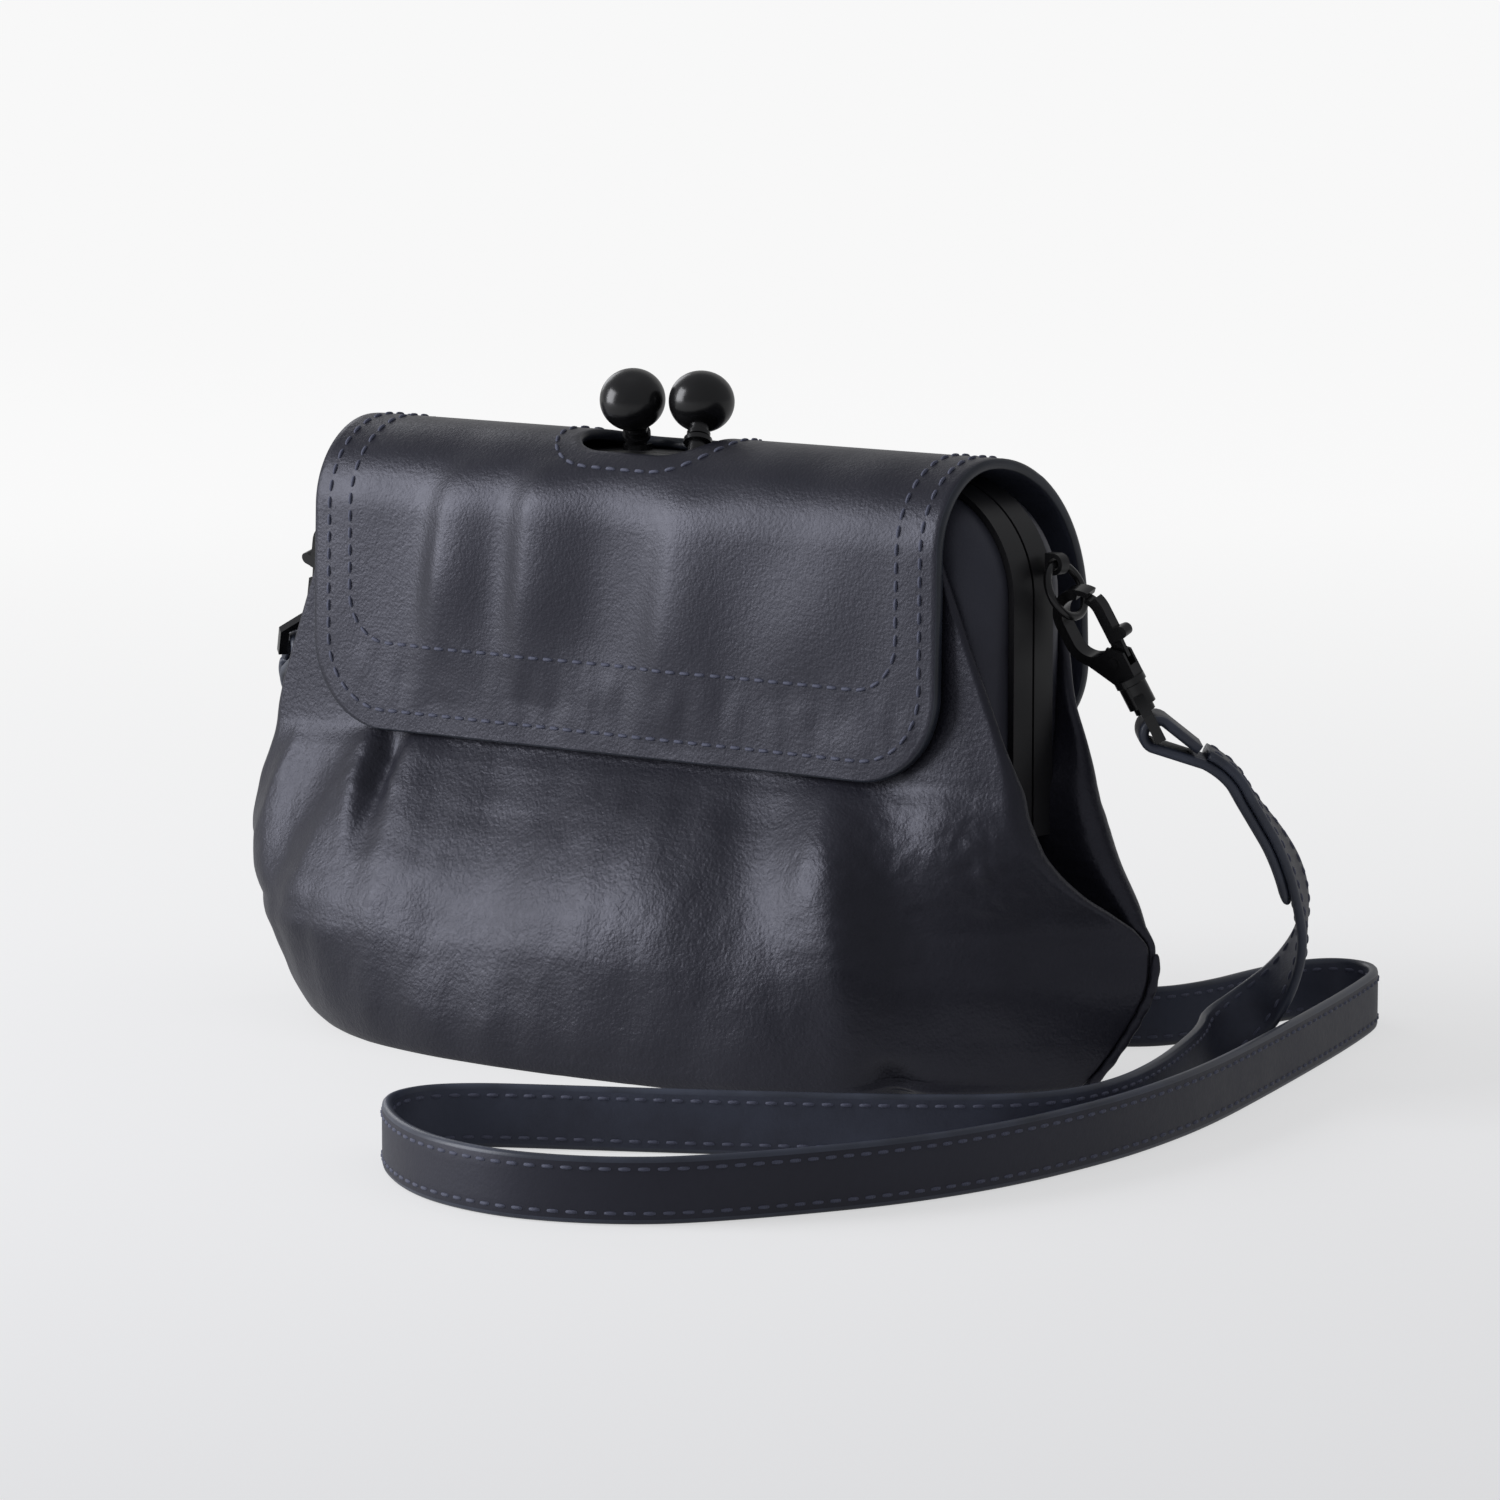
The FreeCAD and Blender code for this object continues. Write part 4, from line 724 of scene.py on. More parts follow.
def with_mouth(piece, facing):
    """Front pieces keep their place in the world, back pieces are attached to the bag."""
    if facing < 0:
        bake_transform(piece)
    else:
        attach(piece, "bag")


class PURSE_OT_pouch(bpy.types.Operator):
    """Makes the gathered pouch, its side gussets, welts, bottom and lining"""

    bl_idname = "purse.pouch"
    bl_label = "Pouch"

    def execute(self, context):
        thick = context.scene.purse_sizes.leather / MM
        leather = [FINISH["pouch"], FINISH["reverse"], FINISH["edge"]]
        for wing, folds, seed in (("front", FRONT_FOLDS, 3.0), ("back", BACK_FOLDS, 17.0)):
            facing = WINGS[wing]
            points = panel_grid(facing, folds, seed)
            made = grid_sheet("Pouch_" + wing, points, facing > 0, (thick, PANEL_BULGE), leather)
            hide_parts("pouch_" + wing)
            with_mouth(made, facing)
        self.bottom()
        for name, side in SIDES.items():
            self.gusset(name, side)
            self.welt(name, side)
        self.lining()
        return {"FINISHED"}

    def bottom(self):
        """Flat bottom panel, a little hollow between its edges."""
        u = np.sin(np.linspace(-math.pi / 2, math.pi / 2, 61))
        across = BOTTOM_HALF * np.concatenate([u, u[-2::-1]])
        along = np.concatenate([-BOTTOM_FRONT * (1 - u ** 4),
                                BOTTOM_BACK * (1 - u[-2::-1] ** 4)])
        share = np.linspace(0.04, 1, 14)[:, None]
        hollow = BOTTOM_HOLLOW * (1 - share ** 4) + 0 * across
        points = np.stack([across * share, along * share, hollow], 2)
        made = grid_sheet("Pouch_bottom", points, False, BOTTOM_SHEET,
                          [FINISH["pouch"], FINISH["lining"], FINISH["edge"]])
        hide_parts("pouch_base")
        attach(made, "bag")

    def gusset(self, name, side):
        """Two wings behind the turned-in panel edges, down to the fold beside the hinge."""
        for wing, facing in WINGS.items():
            z = np.linspace(*GUSSET_HEIGHTS, 60)
            (*_, seam), _, (leave, inner) = edge_roll(z, facing, name)
            line = run_in(leave, inner, np.linspace(0.5, 1, 12))
            way = unit_rows(inner - leave)
            behind = np.stack([way[:, 1], -way[:, 0]], 1) * GUSSET_BEHIND
            line = line + behind[:, None, :]
            points = np.stack([line[..., 0] * side,
                               np.maximum(line[..., 1], SEAM_GAP) * facing + seam[:, None],
                               np.broadcast_to(z[:, None], line.shape[:2])], 2)
            made = grid_sheet("Gusset_%s_%s" % (name, wing), points, side * facing < 0,
                              GUSSET_SHEET, [FINISH["pouch"], FINISH["lining"], FINISH["edge"]])
            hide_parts(name + "_gusset")
            with_mouth(made, facing)

    def welt(self, name, side):
        """Rolled seam with slight puckers at the stitches."""
        z = np.linspace(*WELT_HEIGHTS, 48)
        reach = rows_at(POUCH_ROWS, z)[2]
        more, seam = rows_at(SIDE_ROWS[name], z)[:2]
        middle = np.stack([(reach + more + WELT_OUT) * side, seam, z], 1)
        heading = unit_rows(np.gradient(middle, axis=0))
        across = np.array([0.0, 1.0, 0.0])
        out = unit_rows(np.cross(across, heading)) * side
        turn = np.linspace(0, 2 * math.pi, 17)[:-1]
        radius = WELT_RADIUS + PUCKER * np.sin(z * 2 * math.pi / PUCKER_PITCH)
        radius[:2] *= 0.6
        radius[-3:] *= np.array([0.9, 0.7, 0.35])
        rings = (middle[:, None, :] + radius[:, None, None]
                 * (np.cos(turn)[None, :, None] * out[:, None, :]
                    + np.sin(turn)[None, :, None] * across[None, None, :]))
        faces = tube_faces(len(z), len(turn), flip=side < 0)
        made = add_object("Welt_" + name, rings.reshape(-1, 3), faces, [FINISH["pouch"]])
        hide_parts(name + "_welt")
        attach(made, "bag")

    def lining(self):
        """Cloth bag inside, in a front and a back half."""
        z = np.linspace(*LINING_HEIGHTS, 60)[:, None]
        depth, reach = rows_at(LINING_ROWS, z)
        u = np.sin(np.linspace(-math.pi / 2, math.pi / 2, 61))[None, :]
        wall = np.array([(1, share, 1) for share in (0.25, 0.5, 0.75)])
        for wing, facing in WINGS.items():
            y = (LINING_EDGE + (depth - LINING_EDGE) * (1 - np.abs(u) ** 3.0)) * facing
            points = np.stack([reach * u, y, np.broadcast_to(z, y.shape)], 2)
            points = np.concatenate(
                [points[:, :1] * wall, points, points[:, -1:] * wall[::-1]], 1)
            points[..., 1] -= facing * wrinkle(points, *LINING_WRINKLE, 41.0 + facing)
            made = grid_sheet("Lining_" + wing, points, facing > 0, LINING_SHEET,
                              [FINISH["lining"]] * 3)
            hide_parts("lining")
            with_mouth(made, facing)


# Flap

FLAP_HALF = 96.0
FLAP_CORNER = 22.0
FLAP_BULGE = 0.55
# Profile of the flap: depth and height of its hems, its crest and the roundings before and behind
FRONT_HEM = (-26.6, 76.0)
BACK_HEM = (38.0, 78.0)
CREST_Y = -3.5
FLAP_TOP = 152
FRONT_ROUND = 22
BACK_ROUND = 40
# Waves of the flap: sizes across and along, height, seed; the tug of the stitches is at the hem
RIPPLE = (16, 40, 0.35, 5.0)
TUG = (5, 11, 0.3, 9.0)
TUG_AT = 13
TUG_SPREAD = 9.0
CREST_FADE = 8
CLASP_X = -4.0


def flap_profile():
    """Outer line of the flap in (y, z) from the front hem over the crest to the back hem."""
    back = (FLAP_TOP - BACK_ROUND, BACK_ROUND)
    points = np.array(
        [FRONT_HEM, *arc(CREST_Y, FLAP_TOP - FRONT_ROUND, FRONT_ROUND, 180, 90, 30),
         *arc(CREST_Y, *back, 90, 60.8, 16)[1:], *arc(CREST_Y + 0.2, *back, 60.8, 1.5, 26)[1:],
         BACK_HEM])
    return points, run_lengths(points)


PROFILE, PROFILE_LENGTH = flap_profile()
FLAP_LENGTH = PROFILE_LENGTH[-1]
CREST = float(np.interp(CREST_Y, PROFILE[:, 0], PROFILE_LENGTH))
OPENING_HALF = (20.7, 13.0)
OPENING_CORNER = 12.0
# Stitch rows: inset from the sides and from the hems, corner radius
FLAP_ROWS = {"Flap_outer_stitches": (4.6, 4.6, 17.5), "Flap_inner_stitches": (11.5, 21.5, 12.0)}
OPENING_ROW = 5.6
OPENING_ROW_CORNER = 17.0

FOLD_GAIN = 1.25
FLAP_FOLDS = [
    ([(146, -50, 0), (132, -52, 1.5), (116, -54, 2.2), (100, -56, 1.2), (84, -57, 0)], (6, 13)),
    ([(147, -24, 0), (134, -25, 1.8), (116, -26, 2.4), (100, -28, 1.4), (86, -30, 0)], (7, 14)),
    ([(142, -6, 0), (122, -6, -0.4), (104, -7, -0.4), (92, -7, 0)], (10, 9)),
    ([(142, 20, 0), (126, 19, 1.4), (108, 17, 2.1), (92, 16, 1.2), (80, 16, 0)], (8, 16)),
    ([(134, 60, 0), (112, 58, 0.8), (94, 56, 0)], (12, 16)),
]


def flap_wave(x, s, across, along, height, seed):
    """Slow noise over the flat flap; across and along are its sizes in millimetres."""
    flat = np.stack([x, s, np.full(np.shape(x), seed)], -1)
    return wrinkle(flat, (across, along, 1), height, 0)


def profile_at(s):
    """Depth and height of the flap's plain profile at the lengths s."""
    return np.stack([np.interp(s, PROFILE_LENGTH, PROFILE[:, k]) for k in (0, 1)], -1)


def flap_lift(x, s):
    """How far the flap stands out of its plain profile, from soft folds and slow waves."""
    front = np.clip((CREST - s) / CREST_FADE, 0, 1)
    lift = fold_depth(x, profile_at(s)[..., 1], FLAP_FOLDS) * FOLD_GAIN * front
    hem = np.exp(-((s - TUG_AT) / TUG_SPREAD) ** 2)
    return lift + (flap_wave(x, s, *RIPPLE) + flap_wave(x, s, *TUG) * hem) * front


def flap_points(x, s):
    """Places on the flap's outer face, with normals, for flat places (x, s)."""
    step = 0.8
    ahead = unit_rows(profile_at(s + step) - profile_at(s - step))
    normal = np.stack([0 * s, -ahead[..., 1], ahead[..., 0]], -1)
    spots = np.concatenate([x[..., None], profile_at(s)], -1)
    return spots + normal * flap_lift(x, s)[..., None], normal


def rounded_line(half_width, low, high, corner):
    """Closed flat line of a rectangle with round corners, from (x, s) limits."""
    x = half_width - corner
    points = []
    for cx, cs, first in ((x, low + corner, -90), (x, high - corner, 0),
                          (-x, high - corner, 90), (-x, low + corner, 180)):
        points += arc(cx, cs, corner, first, first + 90, 12)
    return np.array(points + points[:1])


def opening_distance(x, s):
    """Signed distance to the edge of the stud opening, positive outside it."""
    a = np.abs(x - CLASP_X) - OPENING_HALF[0] + OPENING_CORNER
    b = np.abs(s - CREST) - OPENING_HALF[1] + OPENING_CORNER
    outside = np.hypot(np.maximum(a, 0), np.maximum(b, 0))
    return outside + np.minimum(np.maximum(a, b), 0) - OPENING_CORNER


class PURSE_OT_flap(bpy.types.Operator):
    """Makes the flap with its stud opening, painted edge and stitch rows"""

    bl_idname = "purse.flap"
    bl_label = "Flap"

    def execute(self, context):
        sizes = context.scene.purse_sizes
        x, s, keep = self.flat_grid()
        points, normals = flap_points(x, s)
        verts, faces, parts = sheet_parts(
            points.reshape(-1, 3), normals.reshape(-1, 3), grid_faces(*x.shape, keep),
            sizes.flap_leather / MM, FLAP_BULGE, 5)
        made = add_object("Flap", verts, faces,
                          [FINISH["flap"], FINISH["reverse"], FINISH["edge"]], parts)
        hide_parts("flap", "flap_back")
        self.bend(made)
        lines = {name: rounded_line(FLAP_HALF - aside, hem, FLAP_LENGTH - hem, corner)
                 for name, (aside, hem, corner) in FLAP_ROWS.items()}
        away = OPENING_HALF[1] + OPENING_ROW
        lines["Flap_opening_stitches"] = np.array([CLASP_X, 0]) + rounded_line(
            OPENING_HALF[0] + OPENING_ROW, CREST - away, CREST + away, OPENING_ROW_CORNER)
        for name, line in lines.items():
            self.bend(self.stitches(name, line, sizes))
        return {"FINISHED"}

    def flat_grid(self):
        """Flat places of the flap's grid, and which of its faces lie outside the opening."""
        near = np.array([0, 0.12, 0.5, 1.1, 2.0, 3.2])
        s = np.concatenate([near, np.linspace(4.8, FLAP_LENGTH - 4.8, 132),
                            (FLAP_LENGTH - near)[::-1]])
        inset = np.minimum(np.minimum(s, FLAP_LENGTH - s), FLAP_CORNER)
        half = FLAP_HALF - FLAP_CORNER + np.sqrt(FLAP_CORNER ** 2 - (FLAP_CORNER - inset) ** 2)
        x = half[:, None] * np.linspace(-1, 1, 129)[None, :]
        s = np.broadcast_to(s[:, None], x.shape)
        keep = opening_distance((x[:-1, :-1] + x[1:, 1:]) / 2, (s[:-1, :-1] + s[1:, 1:]) / 2) > 0
        touched = np.zeros((*x.shape, 2), bool)
        for part, chosen in enumerate((~keep, keep)):
            for r, c in np.argwhere(chosen):
                touched[r:r + 2, c:c + 2, part] = True
        border = touched.all(axis=2)
        tiny = 0.01
        # the places round the opening move onto its edge
        for _ in range(3):
            off = opening_distance(x, s)
            slope_x = (opening_distance(x + tiny, s) - off) / tiny
            slope_s = (opening_distance(x, s + tiny) - off) / tiny
            x = np.where(border, x - off * slope_x, x)
            s = np.where(border, s - off * slope_s, s)
        return x, s, keep

    def stitches(self, name, line, sizes):
        """A row of stitches along a flat line on the flap."""
        flat, _ = along_line(line, sizes.stitch_pitch / MM)
        spots, normals = flap_points(*flat.T)
        onward = unit_rows(np.roll(flat, -1, 0) - np.roll(flat, 1, 0)) * 0.4
        ahead, _ = flap_points(*(flat + onward).T)
        behind, _ = flap_points(*(flat - onward).T)
        made = stitch_mesh(name, spots, unit_rows(ahead - behind), normals, sizes)
        return made

    def bend(self, piece):
        """Bakes the piece's placement into its mesh."""
        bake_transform(piece)


# Collars


class PURSE_OT_collars(bpy.types.Operator):
    """Makes the padded leather bands beside the frame halves"""

    bl_idname = "purse.collars"
    bl_label = "Collars"

    def execute(self, context):
        for label, facing, rides in (("front", -1, "front_half"), ("rear", 1, "bag")):
            made = self.band("Collar_" + label, facing)
            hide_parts(label + "_collar")
            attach(made, rides)
        return {"FINISHED"}

    def band(self, name, facing):
        """Profile of depth and inset swept along the upside-down U, tapering out at the feet."""
        profile = np.array(
            [(2.7, 1.9), (6.0, 1.75), *arc(9.4, 11.8, 10.0, -90, 0, 11), (19.4, 14.0),
             (19.2, 15.6), (18.4, 16.0), (16.0, 16.0), (15.2, 15.6), (15.0, 13.8),
             *arc(9.4, 11.8, 5.6, 0, -90, 7), (6.0, 6.2), (2.7, 6.2)])
        half, corner, foot, top = 106.0, 28.0, 76.2, 147.0
        shoulder = top - corner
        thin, full, taper_from, taper_to = 9.4, 19.4, 76.0, 112.0

        def bend(middle, first, last):
            return [(*spot, *out) for spot, out in zip(
                arc(middle, shoulder, corner, first, last, 16), arc(0, 0, 1, first, last, 16))]

        path = [(-half, z, -1.0, 0.0) for z in np.linspace(foot, shoulder, 26)]
        path += bend(corner - half, 180, 90)[1:]
        path += [(x, top, 0.0, 1.0) for x in np.linspace(-70, 70, 36)]
        path += bend(half - corner, 90, 0)
        path += [(half, z, 1.0, 0.0) for z in np.linspace(shoulder, foot, 26)[1:]]
        rings = []
        for x, z, out_x, out_z in path:
            limit = thin + (z - taper_from) / (taper_to - taper_from) * (full - thin)
            depth = np.minimum(profile[:, 0], max(limit, 3.0))
            rings.append(np.stack([x - out_x * profile[:, 1], depth * facing,
                                   z - out_z * profile[:, 1]], 1))
        faces = tube_faces(len(path), len(profile), flip=facing > 0)
        return add_object(name, np.concatenate(rings), faces, [FINISH["collar"]])


# Strap

# Middle line of the strap from the right hook, lying on its edge on the floor, to the left hook
STRAP_ROUTE = [
    (140.60, 22.34, 83.16), (144.93, 25.72, 80.36),
    (146.6, 33.0, 70.5), (149.0, 43.0, 58.5), (148.3, 52.0, 46.5), (145.5, 58.0, 34.5),
    (138.8, 60.0, 23.5), (131.5, 57.0, 14.8), (128.5, 48.0, 9.8), (131.0, 36.0, 7.8),
    (139.5, 16.0, 7.6), (150.0, -12.0, 7.6), (155.5, -36.0, 7.6),
    (154.0, -55.0, 7.6), (144.5, -69.5, 7.6), (120.0, -86.5, 7.6), (82.0, -108.0, 7.6),
    (57.0, -121.0, 7.6), (41.5, -129.5, 7.6), (33.0, -139.0, 7.6), (33.5, -151.0, 7.6),
    (43.0, -163.0, 7.6), (58.5, -175.5, 7.6), (75.0, -183.5, 7.6), (93.5, -186.3, 7.6),
    (108.0, -183.3, 7.6), (121.0, -177.0, 7.6), (132.0, -167.5, 7.6), (145.0, -147.0, 7.6),
    (157.5, -122.0, 7.6), (165.0, -93.0, 7.6), (167.0, -62.0, 7.6), (166.0, -38.0, 7.6),
    (161.5, -7.0, 7.6), (150.5, 36.0, 7.6), (137.5, 83.0, 7.6), (129.5, 109.0, 7.6),
    (124.0, 124.5, 7.6), (116.5, 133.0, 7.6), (107.0, 133.0, 7.6), (101.0, 124.0, 7.6),
    (99.5, 106.0, 7.6), (100.0, 85.5, 7.6), (95.5, 68.0, 7.6),
    (79.0, 59.0, 7.6), (45.0, 57.0, 7.6), (5.0, 56.8, 7.6), (-40.0, 57.0, 7.6),
    (-80.0, 58.0, 7.6), (-108.0, 60.0, 8.4), (-127.0, 61.5, 13.5), (-138.0, 58.0, 26.0),
    (-143.2, 50.5, 41.0), (-145.0, 42.0, 55.0), (-144.6, 33.7, 68.0),
    (-145.36, 26.06, 80.08), (-140.60, 22.34, 83.16),
]
# Which way the strap's width points at its first and its last places; it stands on edge between
WIDTH_START = [
    (-0.616, 0.788, 0), (-0.616, 0.788, 0), (-0.60, 0.80, 0), (-0.45, 0.89, 0),
    (-0.40, 0.90, 0.10), (-0.55, 0.80, 0.20), (-0.75, 0.55, 0.35), (-0.80, 0.10, 0.60),
    (-0.50, -0.30, 0.80)]
WIDTH_END = [(0.616, 0.788, 0)] * 6
# Middle of the right eye's bar, its radius with a gap, and the way the strap leaves it
EYE_BAR = np.array([131.05, 14.87, 87.99])
EYE_BAR_RADIUS = 2.19
STRAP_LEAVES = np.array([0.702, 0.549, -0.454])
TAIL_LENGTH = 50.0
# How far in the strap's stitches lie and how deep they sink, and the swell of its faces
STITCH_INSET = 2.6
STITCH_SUNK = 0.35
CROWN = 1.02
# Folded end: spacing of the two layers in thicknesses, tuck behind the loop, thinned end's share
# of the thickness and the length over which it thins
LAYER_STEP = 1.04
TUCK = 2.5
THINNED = 0.35
THINNED_OVER = 12


def spline_points(name, route):
    """Points along a NURBS line with the route as its control points."""
    curve = bpy.data.curves.new(name, "CURVE")
    curve.dimensions = "3D"
    curve.resolution_u = 10
    spline = curve.splines.new("NURBS")
    spline.points.add(len(route) - 1)
    for spot, point in zip(route, spline.points):
        point.co = (*[v * MM for v in spot], 1)
    spline.order_u = 3
    spline.use_endpoint_u = True
    holder = place_object(name, curve)
    bpy.context.view_layer.update()
    mesh = bpy.data.meshes.new_from_object(holder.evaluated_get(
        bpy.context.evaluated_depsgraph_get()))
    points = np.array([v.co for v in mesh.vertices]) / MM
    bpy.data.objects.remove(holder)
    bpy.data.curves.remove(curve)
    bpy.data.meshes.remove(mesh)
    return points


def ribbon_frames(points, hints):
    """Width and face normal at each point of a flat strap."""
    heading = unit_rows(np.gradient(points, axis=0))
    width = unit_rows(hints - heading * np.sum(hints * heading, 1)[:, None])
    return width, np.cross(heading, width)


def ribbon(name, points, width, normal, half_width, half_thick, materials):
    """A strap of leather with rounded painted edges; its half sizes may change along it."""
    half_width = np.broadcast_to(half_width, len(points))
    half_thick = np.broadcast_to(half_thick, len(points))
    corner = np.minimum(half_thick * 0.98, half_width * 0.5)
    # share of the flat half width, of the corner and of the half thickness, then the part
    section = [(1, *spot, 2) for spot in arc(0, 0, 1, -90, 90, 7)]
    section[-1] = (*section[-1][:3], 0)
    section += [(place, 0, CROWN, 0) for place in (0.5, 0.0, -0.5)]
    section += [(-1, *spot, 2) for spot in arc(0, 0, 1, 90, 270, 7)]
    section[-1] = (*section[-1][:3], 1)
    section += [(place, 0, -CROWN, 1) for place in (-0.5, 0.0, 0.5)]
    shares = np.array(section)
    aside = np.outer(half_width - corner, shares[:, 0]) + np.outer(corner, shares[:, 1])
    height = np.outer(half_thick, shares[:, 2])
    verts = (points[:, None, :] + width[:, None, :] * aside[..., None]
             + normal[:, None, :] * height[..., None]).reshape(-1, 3)
    faces = tube_faces(len(points), len(section), flip=True)
    parts = [part for *_, part in section] * (len(points) - 1) + [2, 2]
    return add_object(name, verts, faces, materials, parts)


class PURSE_OT_strap(bpy.types.Operator):
    """Makes the stitched strap and its folded ends"""

    bl_idname = "purse.strap"
    bl_label = "Strap"

    def execute(self, context):
        sizes = context.scene.purse_sizes
        half_width = sizes.strap_width / MM / 2
        half_thick = sizes.strap_leather / MM / 2
        points = spline_points("Strap_line", STRAP_ROUTE)
        run = run_lengths(points)
        lying = [(0, 0, 1)] * (len(STRAP_ROUTE) - len(WIDTH_START) - len(WIDTH_END))
        hints = spline_points("Strap_width", WIDTH_START + lying + WIDTH_END)
        width, normal = ribbon_frames(points, hints)
        materials = [FINISH["strap"], FINISH["reverse"], FINISH["strap_edge"]]
        strap = ribbon("Strap", points, width, normal, half_width, half_thick, materials)
        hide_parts("strap")
        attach(strap, "bag")
        for row, place in (("upper", 1), ("lower", -1)):
            for face, outer in (("outer", 1), ("inner", -1)):
                line = points + width * (place * (half_width - STITCH_INSET)) + normal * (
                    outer * half_thick * CROWN)
                name = "Strap_stitches_%s_%s" % (row, face)
                self.stitches(name, line, normal * outer, sizes)
        for side in SIDES:
            self.end(side, points, width, normal, run, sizes, materials)
        return {"FINISHED"}

    def stitches(self, name, line, normal, sizes):
        """A row of stitches along a line on the strap's face."""
        spots, places = along_line(line, sizes.stitch_pitch / MM)
        run = run_lengths(line)
        facing = unit_rows(np.stack([np.interp(places, run, row) for row in normal.T], 1))
        heading = unit_rows(np.gradient(spots, axis=0))
        made = stitch_mesh(name, spots, heading, facing, sizes, STITCH_SUNK)
        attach(made, "bag")
        return made

    def end(self, side, points, width, normal, run, sizes, materials):
        """Strap end folded round the bar of the eye and sewn back onto the strap."""
        mirror = np.array([SIDES[side], 1, 1])
        half_width = sizes.strap_width / MM / 2
        thick = sizes.strap_leather / MM
        if side == "left":
            points, width, normal = points[::-1], width[::-1], normal[::-1]
            run = run[-1] - run[::-1]
        inward = -1.0 if normal[0, 2] > 0 else 1.0
        keep = run <= TAIL_LENGTH
        tail = points[keep] + normal[keep] * (inward * thick * LAYER_STEP)
        left_over = (TAIL_LENGTH - run[keep])[::-1]
        bar = EYE_BAR * mirror
        away = STRAP_LEAVES * mirror
        raised = -inward * normal[0]
        away = unit_rows(away - raised * np.dot(away, raised))
        radius = EYE_BAR_RADIUS + thick / 2
        loop = [bar + raised * (radius * math.cos(t)) - away * (radius * math.sin(t))
                for t in np.linspace(math.pi, 0, 17)]
        line = np.array(list(tail[::-1]) + loop + [points[0] - away * TUCK])
        hint = np.tile(width[0], (len(line), 1))
        hint[:len(tail)] = width[keep][::-1]
        rounding = np.clip(left_over / half_width, 0.03, 1)
        broad = np.full(len(line), half_width)
        broad[:len(tail)] *= np.sqrt(1 - (1 - rounding) ** 2)
        thin = np.full(len(line), thick / 2)
        thin[:len(tail)] *= np.clip(THINNED + left_over / THINNED_OVER, 0, 1)
        made = ribbon("Strap_end_" + side, line, *ribbon_frames(line, hint), broad, thin,
                      materials)
        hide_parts(side + "_strap_end")
        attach(made, "bag")
        return made


# Metal

SHARP_ANGLE = 32


class PURSE_OT_metalwork(bpy.types.Operator):
    """Gives the frame, clasp, rings and hooks their lacquer"""

    bl_idname = "purse.metalwork"
    bl_label = "Metalwork"

    def execute(self, context):
        clasp = ("stud", "ring", "hook", "gate", "eye")
        for name, piece in frame["nodes"].items():
            if piece.hide_render:
                continue
            finish = "frame"
            if any(word in name for word in clasp) and not name.endswith("lug"):
                finish = "clasp"
            if name == "base_board":
                finish = "lining"
            piece.data.materials.clear()
            piece.data.materials.append(FINISH[finish])
            piece.data.polygons.foreach_set("use_smooth", np.full(len(piece.data.polygons), True))
            smooth = piece.modifiers.new("Smooth by angle", "EDGE_SPLIT")
            smooth.split_angle = math.radians(SHARP_ANGLE)
        return {"FINISHED"}


# Stage

CAMERA_AT = (1.04427, -1.33660, 0.315)
CAMERA_AIM = (0.021573, 0.0, 0.075741)
CAMERA_LENS = 166.9
# The floor in metres: its near end, where it bends up, the bend, its top and half its width
FLOOR_NEAR = -4.0
FLOOR_BENDS = 2.2
FLOOR_ROUND = 1.6
WALL_TOP = 4.5
FLOOR_HALF = 5.0
STUDIO_WHITE = (0.95, 0.96, 1.0)
WORLD_LIGHT = 0.32
# Glow of the floor, near and far, and how much of it shiny pieces mirror; growing from near to
# far, it is painted light, brighter far behind the object
GLOW_NEAR = (0.44, 0.44, 0.443)
GLOW_FAR = (0.925, 0.925, 0.925)
GLOW_MIRRORED = 0.5
# Name, place, width and height, power
LAMPS = (("Key softbox", (-1.05, -0.98, 0.54), (0.8, 1.0), 17.5),
         ("Rim softbox", (-1.60, 0.80, 0.80), (0.7, 0.9), 3.0))
LAMP_AIM = (0.0, 0.0, 0.09)


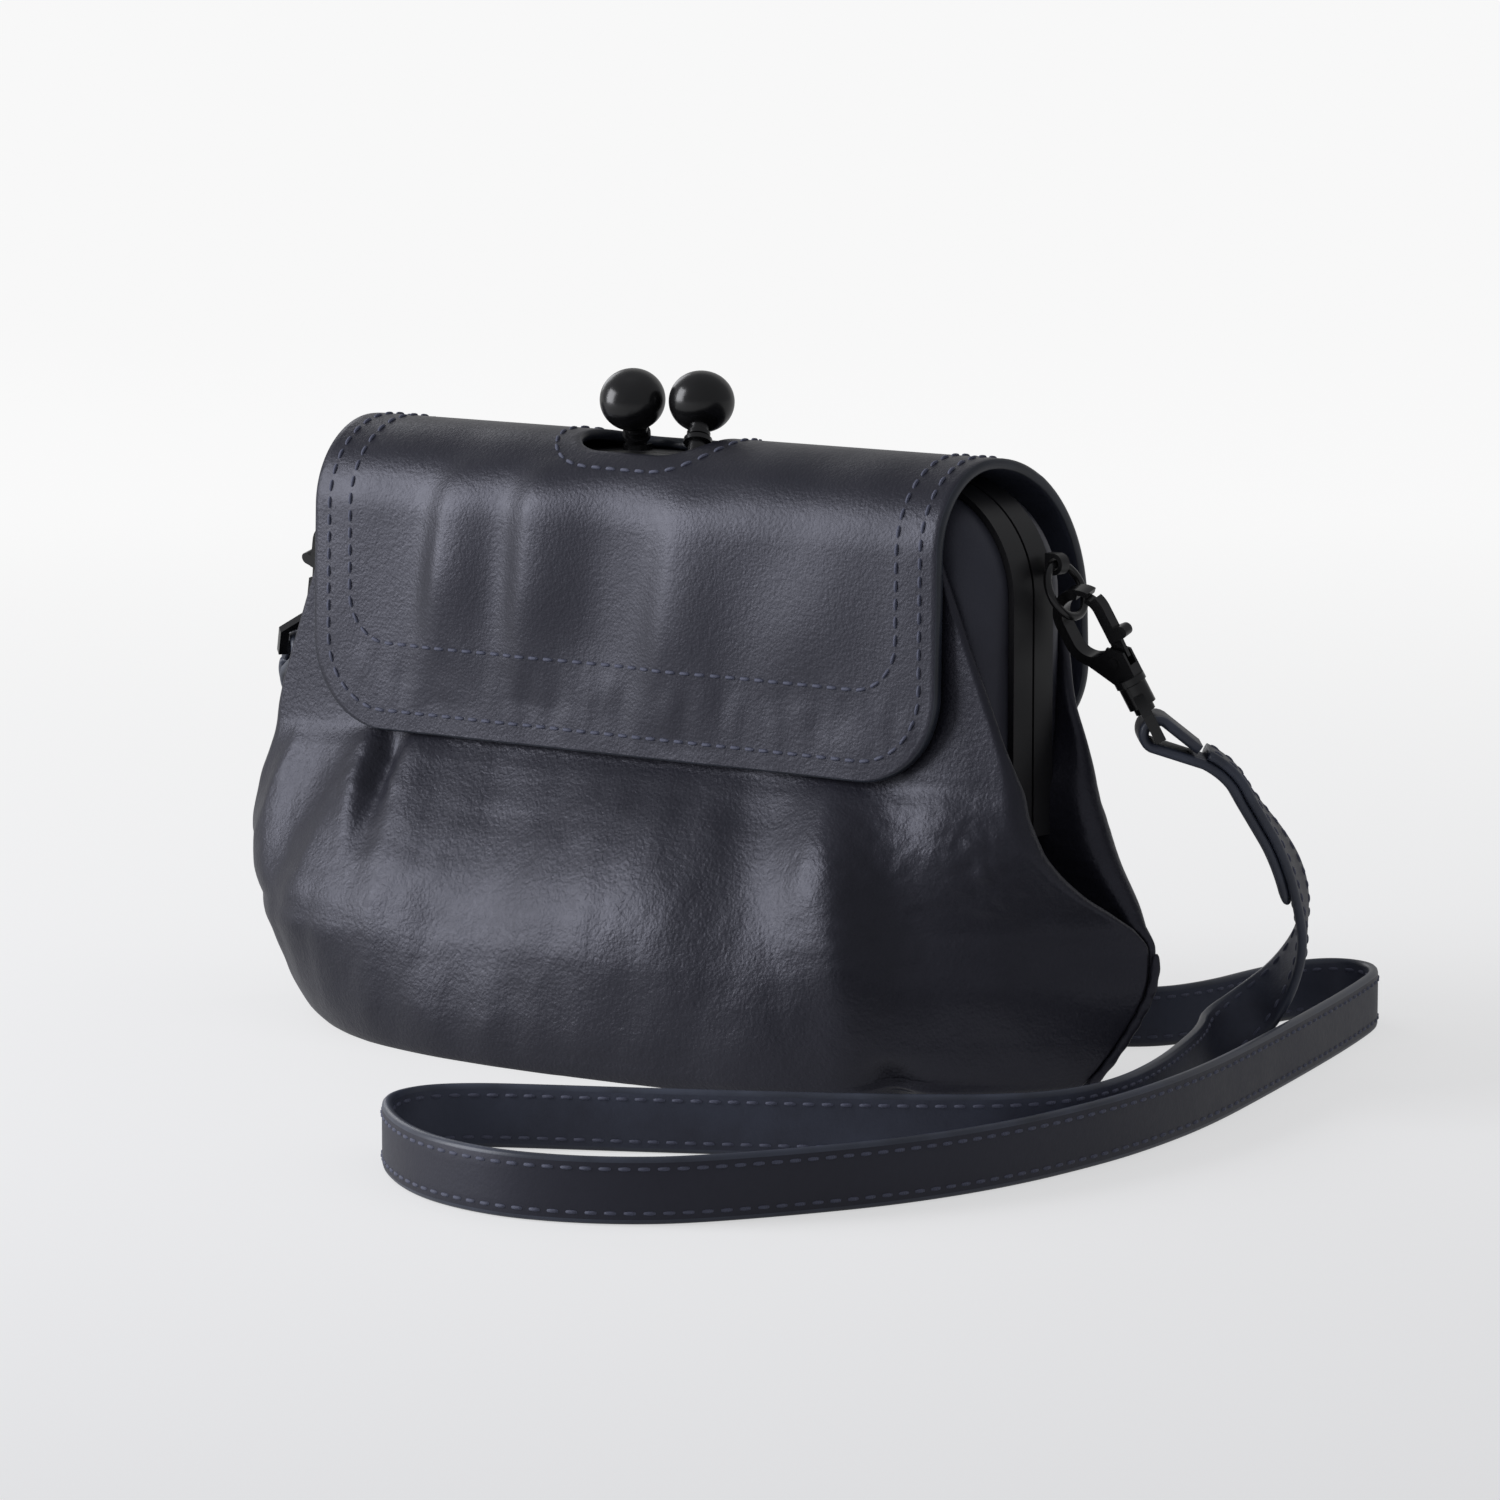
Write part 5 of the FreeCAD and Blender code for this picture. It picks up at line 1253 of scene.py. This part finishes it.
class PURSE_OT_stage(bpy.types.Operator):
    """Makes the pale floor, the soft studio light and the camera"""

    bl_idname = "purse.stage"
    bl_label = "Stage"

    def execute(self, context):
        self.camera(context)
        self.floor(context.scene.purse_colours)
        self.lamps(context)
        return {"FINISHED"}

    def camera(self, context):
        """The camera of the photo."""
        data = bpy.data.cameras.new("Camera")
        data.sensor_width = 36.0
        data.lens = CAMERA_LENS
        data.clip_end = 60
        camera = place_object("Camera", data)
        self.aim(camera, CAMERA_AT, CAMERA_AIM)
        context.scene.camera = camera

    def aim(self, piece, spot, target):
        """Puts a camera or lamp at a spot and points it at its target."""
        piece.location = spot
        piece.rotation_mode = "QUATERNION"
        piece.rotation_quaternion = (Vector(target) - Vector(spot)).to_track_quat("-Z", "Y")

    def floor(self, colours):
        """A floor that runs up into a far wall, behind the object as the camera sees it."""
        toward = Vector((-0.615, 0.788, 0))
        across = Vector((0.788, 0.615, 0))
        line = [(FLOOR_NEAR, 0.0), *arc(FLOOR_BENDS, FLOOR_ROUND, FLOOR_ROUND, -90, 0, 17),
                (FLOOR_BENDS + FLOOR_ROUND, WALL_TOP)]
        verts = []
        for forward, up in line:
            for reach in (-FLOOR_HALF, FLOOR_HALF):
                spot = toward * forward + across * reach
                verts.append((spot.x / MM, spot.y / MM, up / MM))
        material = bpy.data.materials.new("Pale floor")
        material.use_nodes = True
        tree = material.node_tree
        bsdf = tree.nodes["Principled BSDF"]
        place = node(tree, "ShaderNodeTexCoord").outputs["Object"]
        along = node(tree, "ShaderNodeVectorMath", {0: place, 1: toward}, operation="DOT_PRODUCT")
        # Colour and glow both change from near to far: a painted fall-off of light, brighter far
        # behind the object
        for socket, near, far, limits in (
                ("Base Color", colours.floor, colours.floor_far, (-0.5, 1.1)),
                ("Emission Color", GLOW_NEAR, GLOW_FAR, (-0.9, 1.3))):
            share = node(tree, "ShaderNodeMapRange", {
                0: along.outputs["Value"], 1: limits[0], 2: limits[1]},
                interpolation_type="SMOOTHSTEP")
            mix = node(tree, "ShaderNodeMix", {
                "Factor": share.outputs["Result"], "A": rgba(near), "B": rgba(far)},
                data_type="RGBA")
            connect(tree, bsdf, {socket: mix.outputs["Result"]})
        seen = node(tree, "ShaderNodeLightPath").outputs
        shown = math_node(tree, "MULTIPLY", seen["Is Glossy Ray"], GLOW_MIRRORED)
        shown = math_node(tree, "MAXIMUM", shown, seen["Is Transmission Ray"])
        shown = math_node(tree, "MAXIMUM", shown, seen["Is Camera Ray"])
        connect(tree, bsdf, {
            "Emission Strength": shown, "Roughness": 0.8, "Specular IOR Level": 0.0})
        add_object("Floor", verts, grid_faces(len(line), 2), [material])

    def lamps(self, context):
        """A dim world and two softboxes."""
        world = bpy.data.worlds.new("Studio")
        context.scene.world = world
        world.use_nodes = True
        background = world.node_tree.nodes["Background"]
        background.inputs["Color"].default_value = rgba(STUDIO_WHITE)
        background.inputs["Strength"].default_value = WORLD_LIGHT
        for name, spot, size, power in LAMPS:
            data = bpy.data.lights.new(name, "AREA")
            data.shape = "RECTANGLE"
            data.size, data.size_y = size
            data.energy = power
            data.color = STUDIO_WHITE
            self.aim(place_object(name, data), spot, LAMP_AIM)
        context.scene.view_settings.view_transform = "Standard"


class PURSE_PT_panel(bpy.types.Panel):
    """Lists the steps that dress the purse"""

    bl_idname = "PURSE_PT_panel"
    bl_label = "Kiss Lock Purse"
    bl_space_type = "VIEW_3D"
    bl_region_type = "UI"
    bl_category = "Purse"

    def draw(self, context):
        for settings in (context.scene.purse_sizes, context.scene.purse_colours):
            for name in settings.__annotations__:
                self.layout.prop(settings, name)
        for step in STEPS:
            self.layout.operator(step.bl_idname)


STEPS = (PURSE_OT_pouch, PURSE_OT_flap, PURSE_OT_collars, PURSE_OT_strap, PURSE_OT_metalwork,
         PURSE_OT_stage)
CLASSES = (PurseSizes, PurseColours, *STEPS, PURSE_PT_panel)


def register():
    for item in CLASSES:
        bpy.utils.register_class(item)
    bpy.types.Scene.purse_sizes = PointerProperty(type=PurseSizes)
    bpy.types.Scene.purse_colours = PointerProperty(type=PurseColours)


def unregister():
    del bpy.types.Scene.purse_colours
    del bpy.types.Scene.purse_sizes
    for item in reversed(CLASSES):
        bpy.utils.unregister_class(item)


def main():
    register()
    FINISH.update(make_materials(bpy.context.scene.purse_colours))
    bpy.ops.purse.pouch()
    bpy.ops.purse.flap()
    bpy.ops.purse.collars()
    bpy.ops.purse.strap()
    bpy.ops.purse.metalwork()
    bpy.ops.purse.stage()


if __name__ == "__main__":
    main()
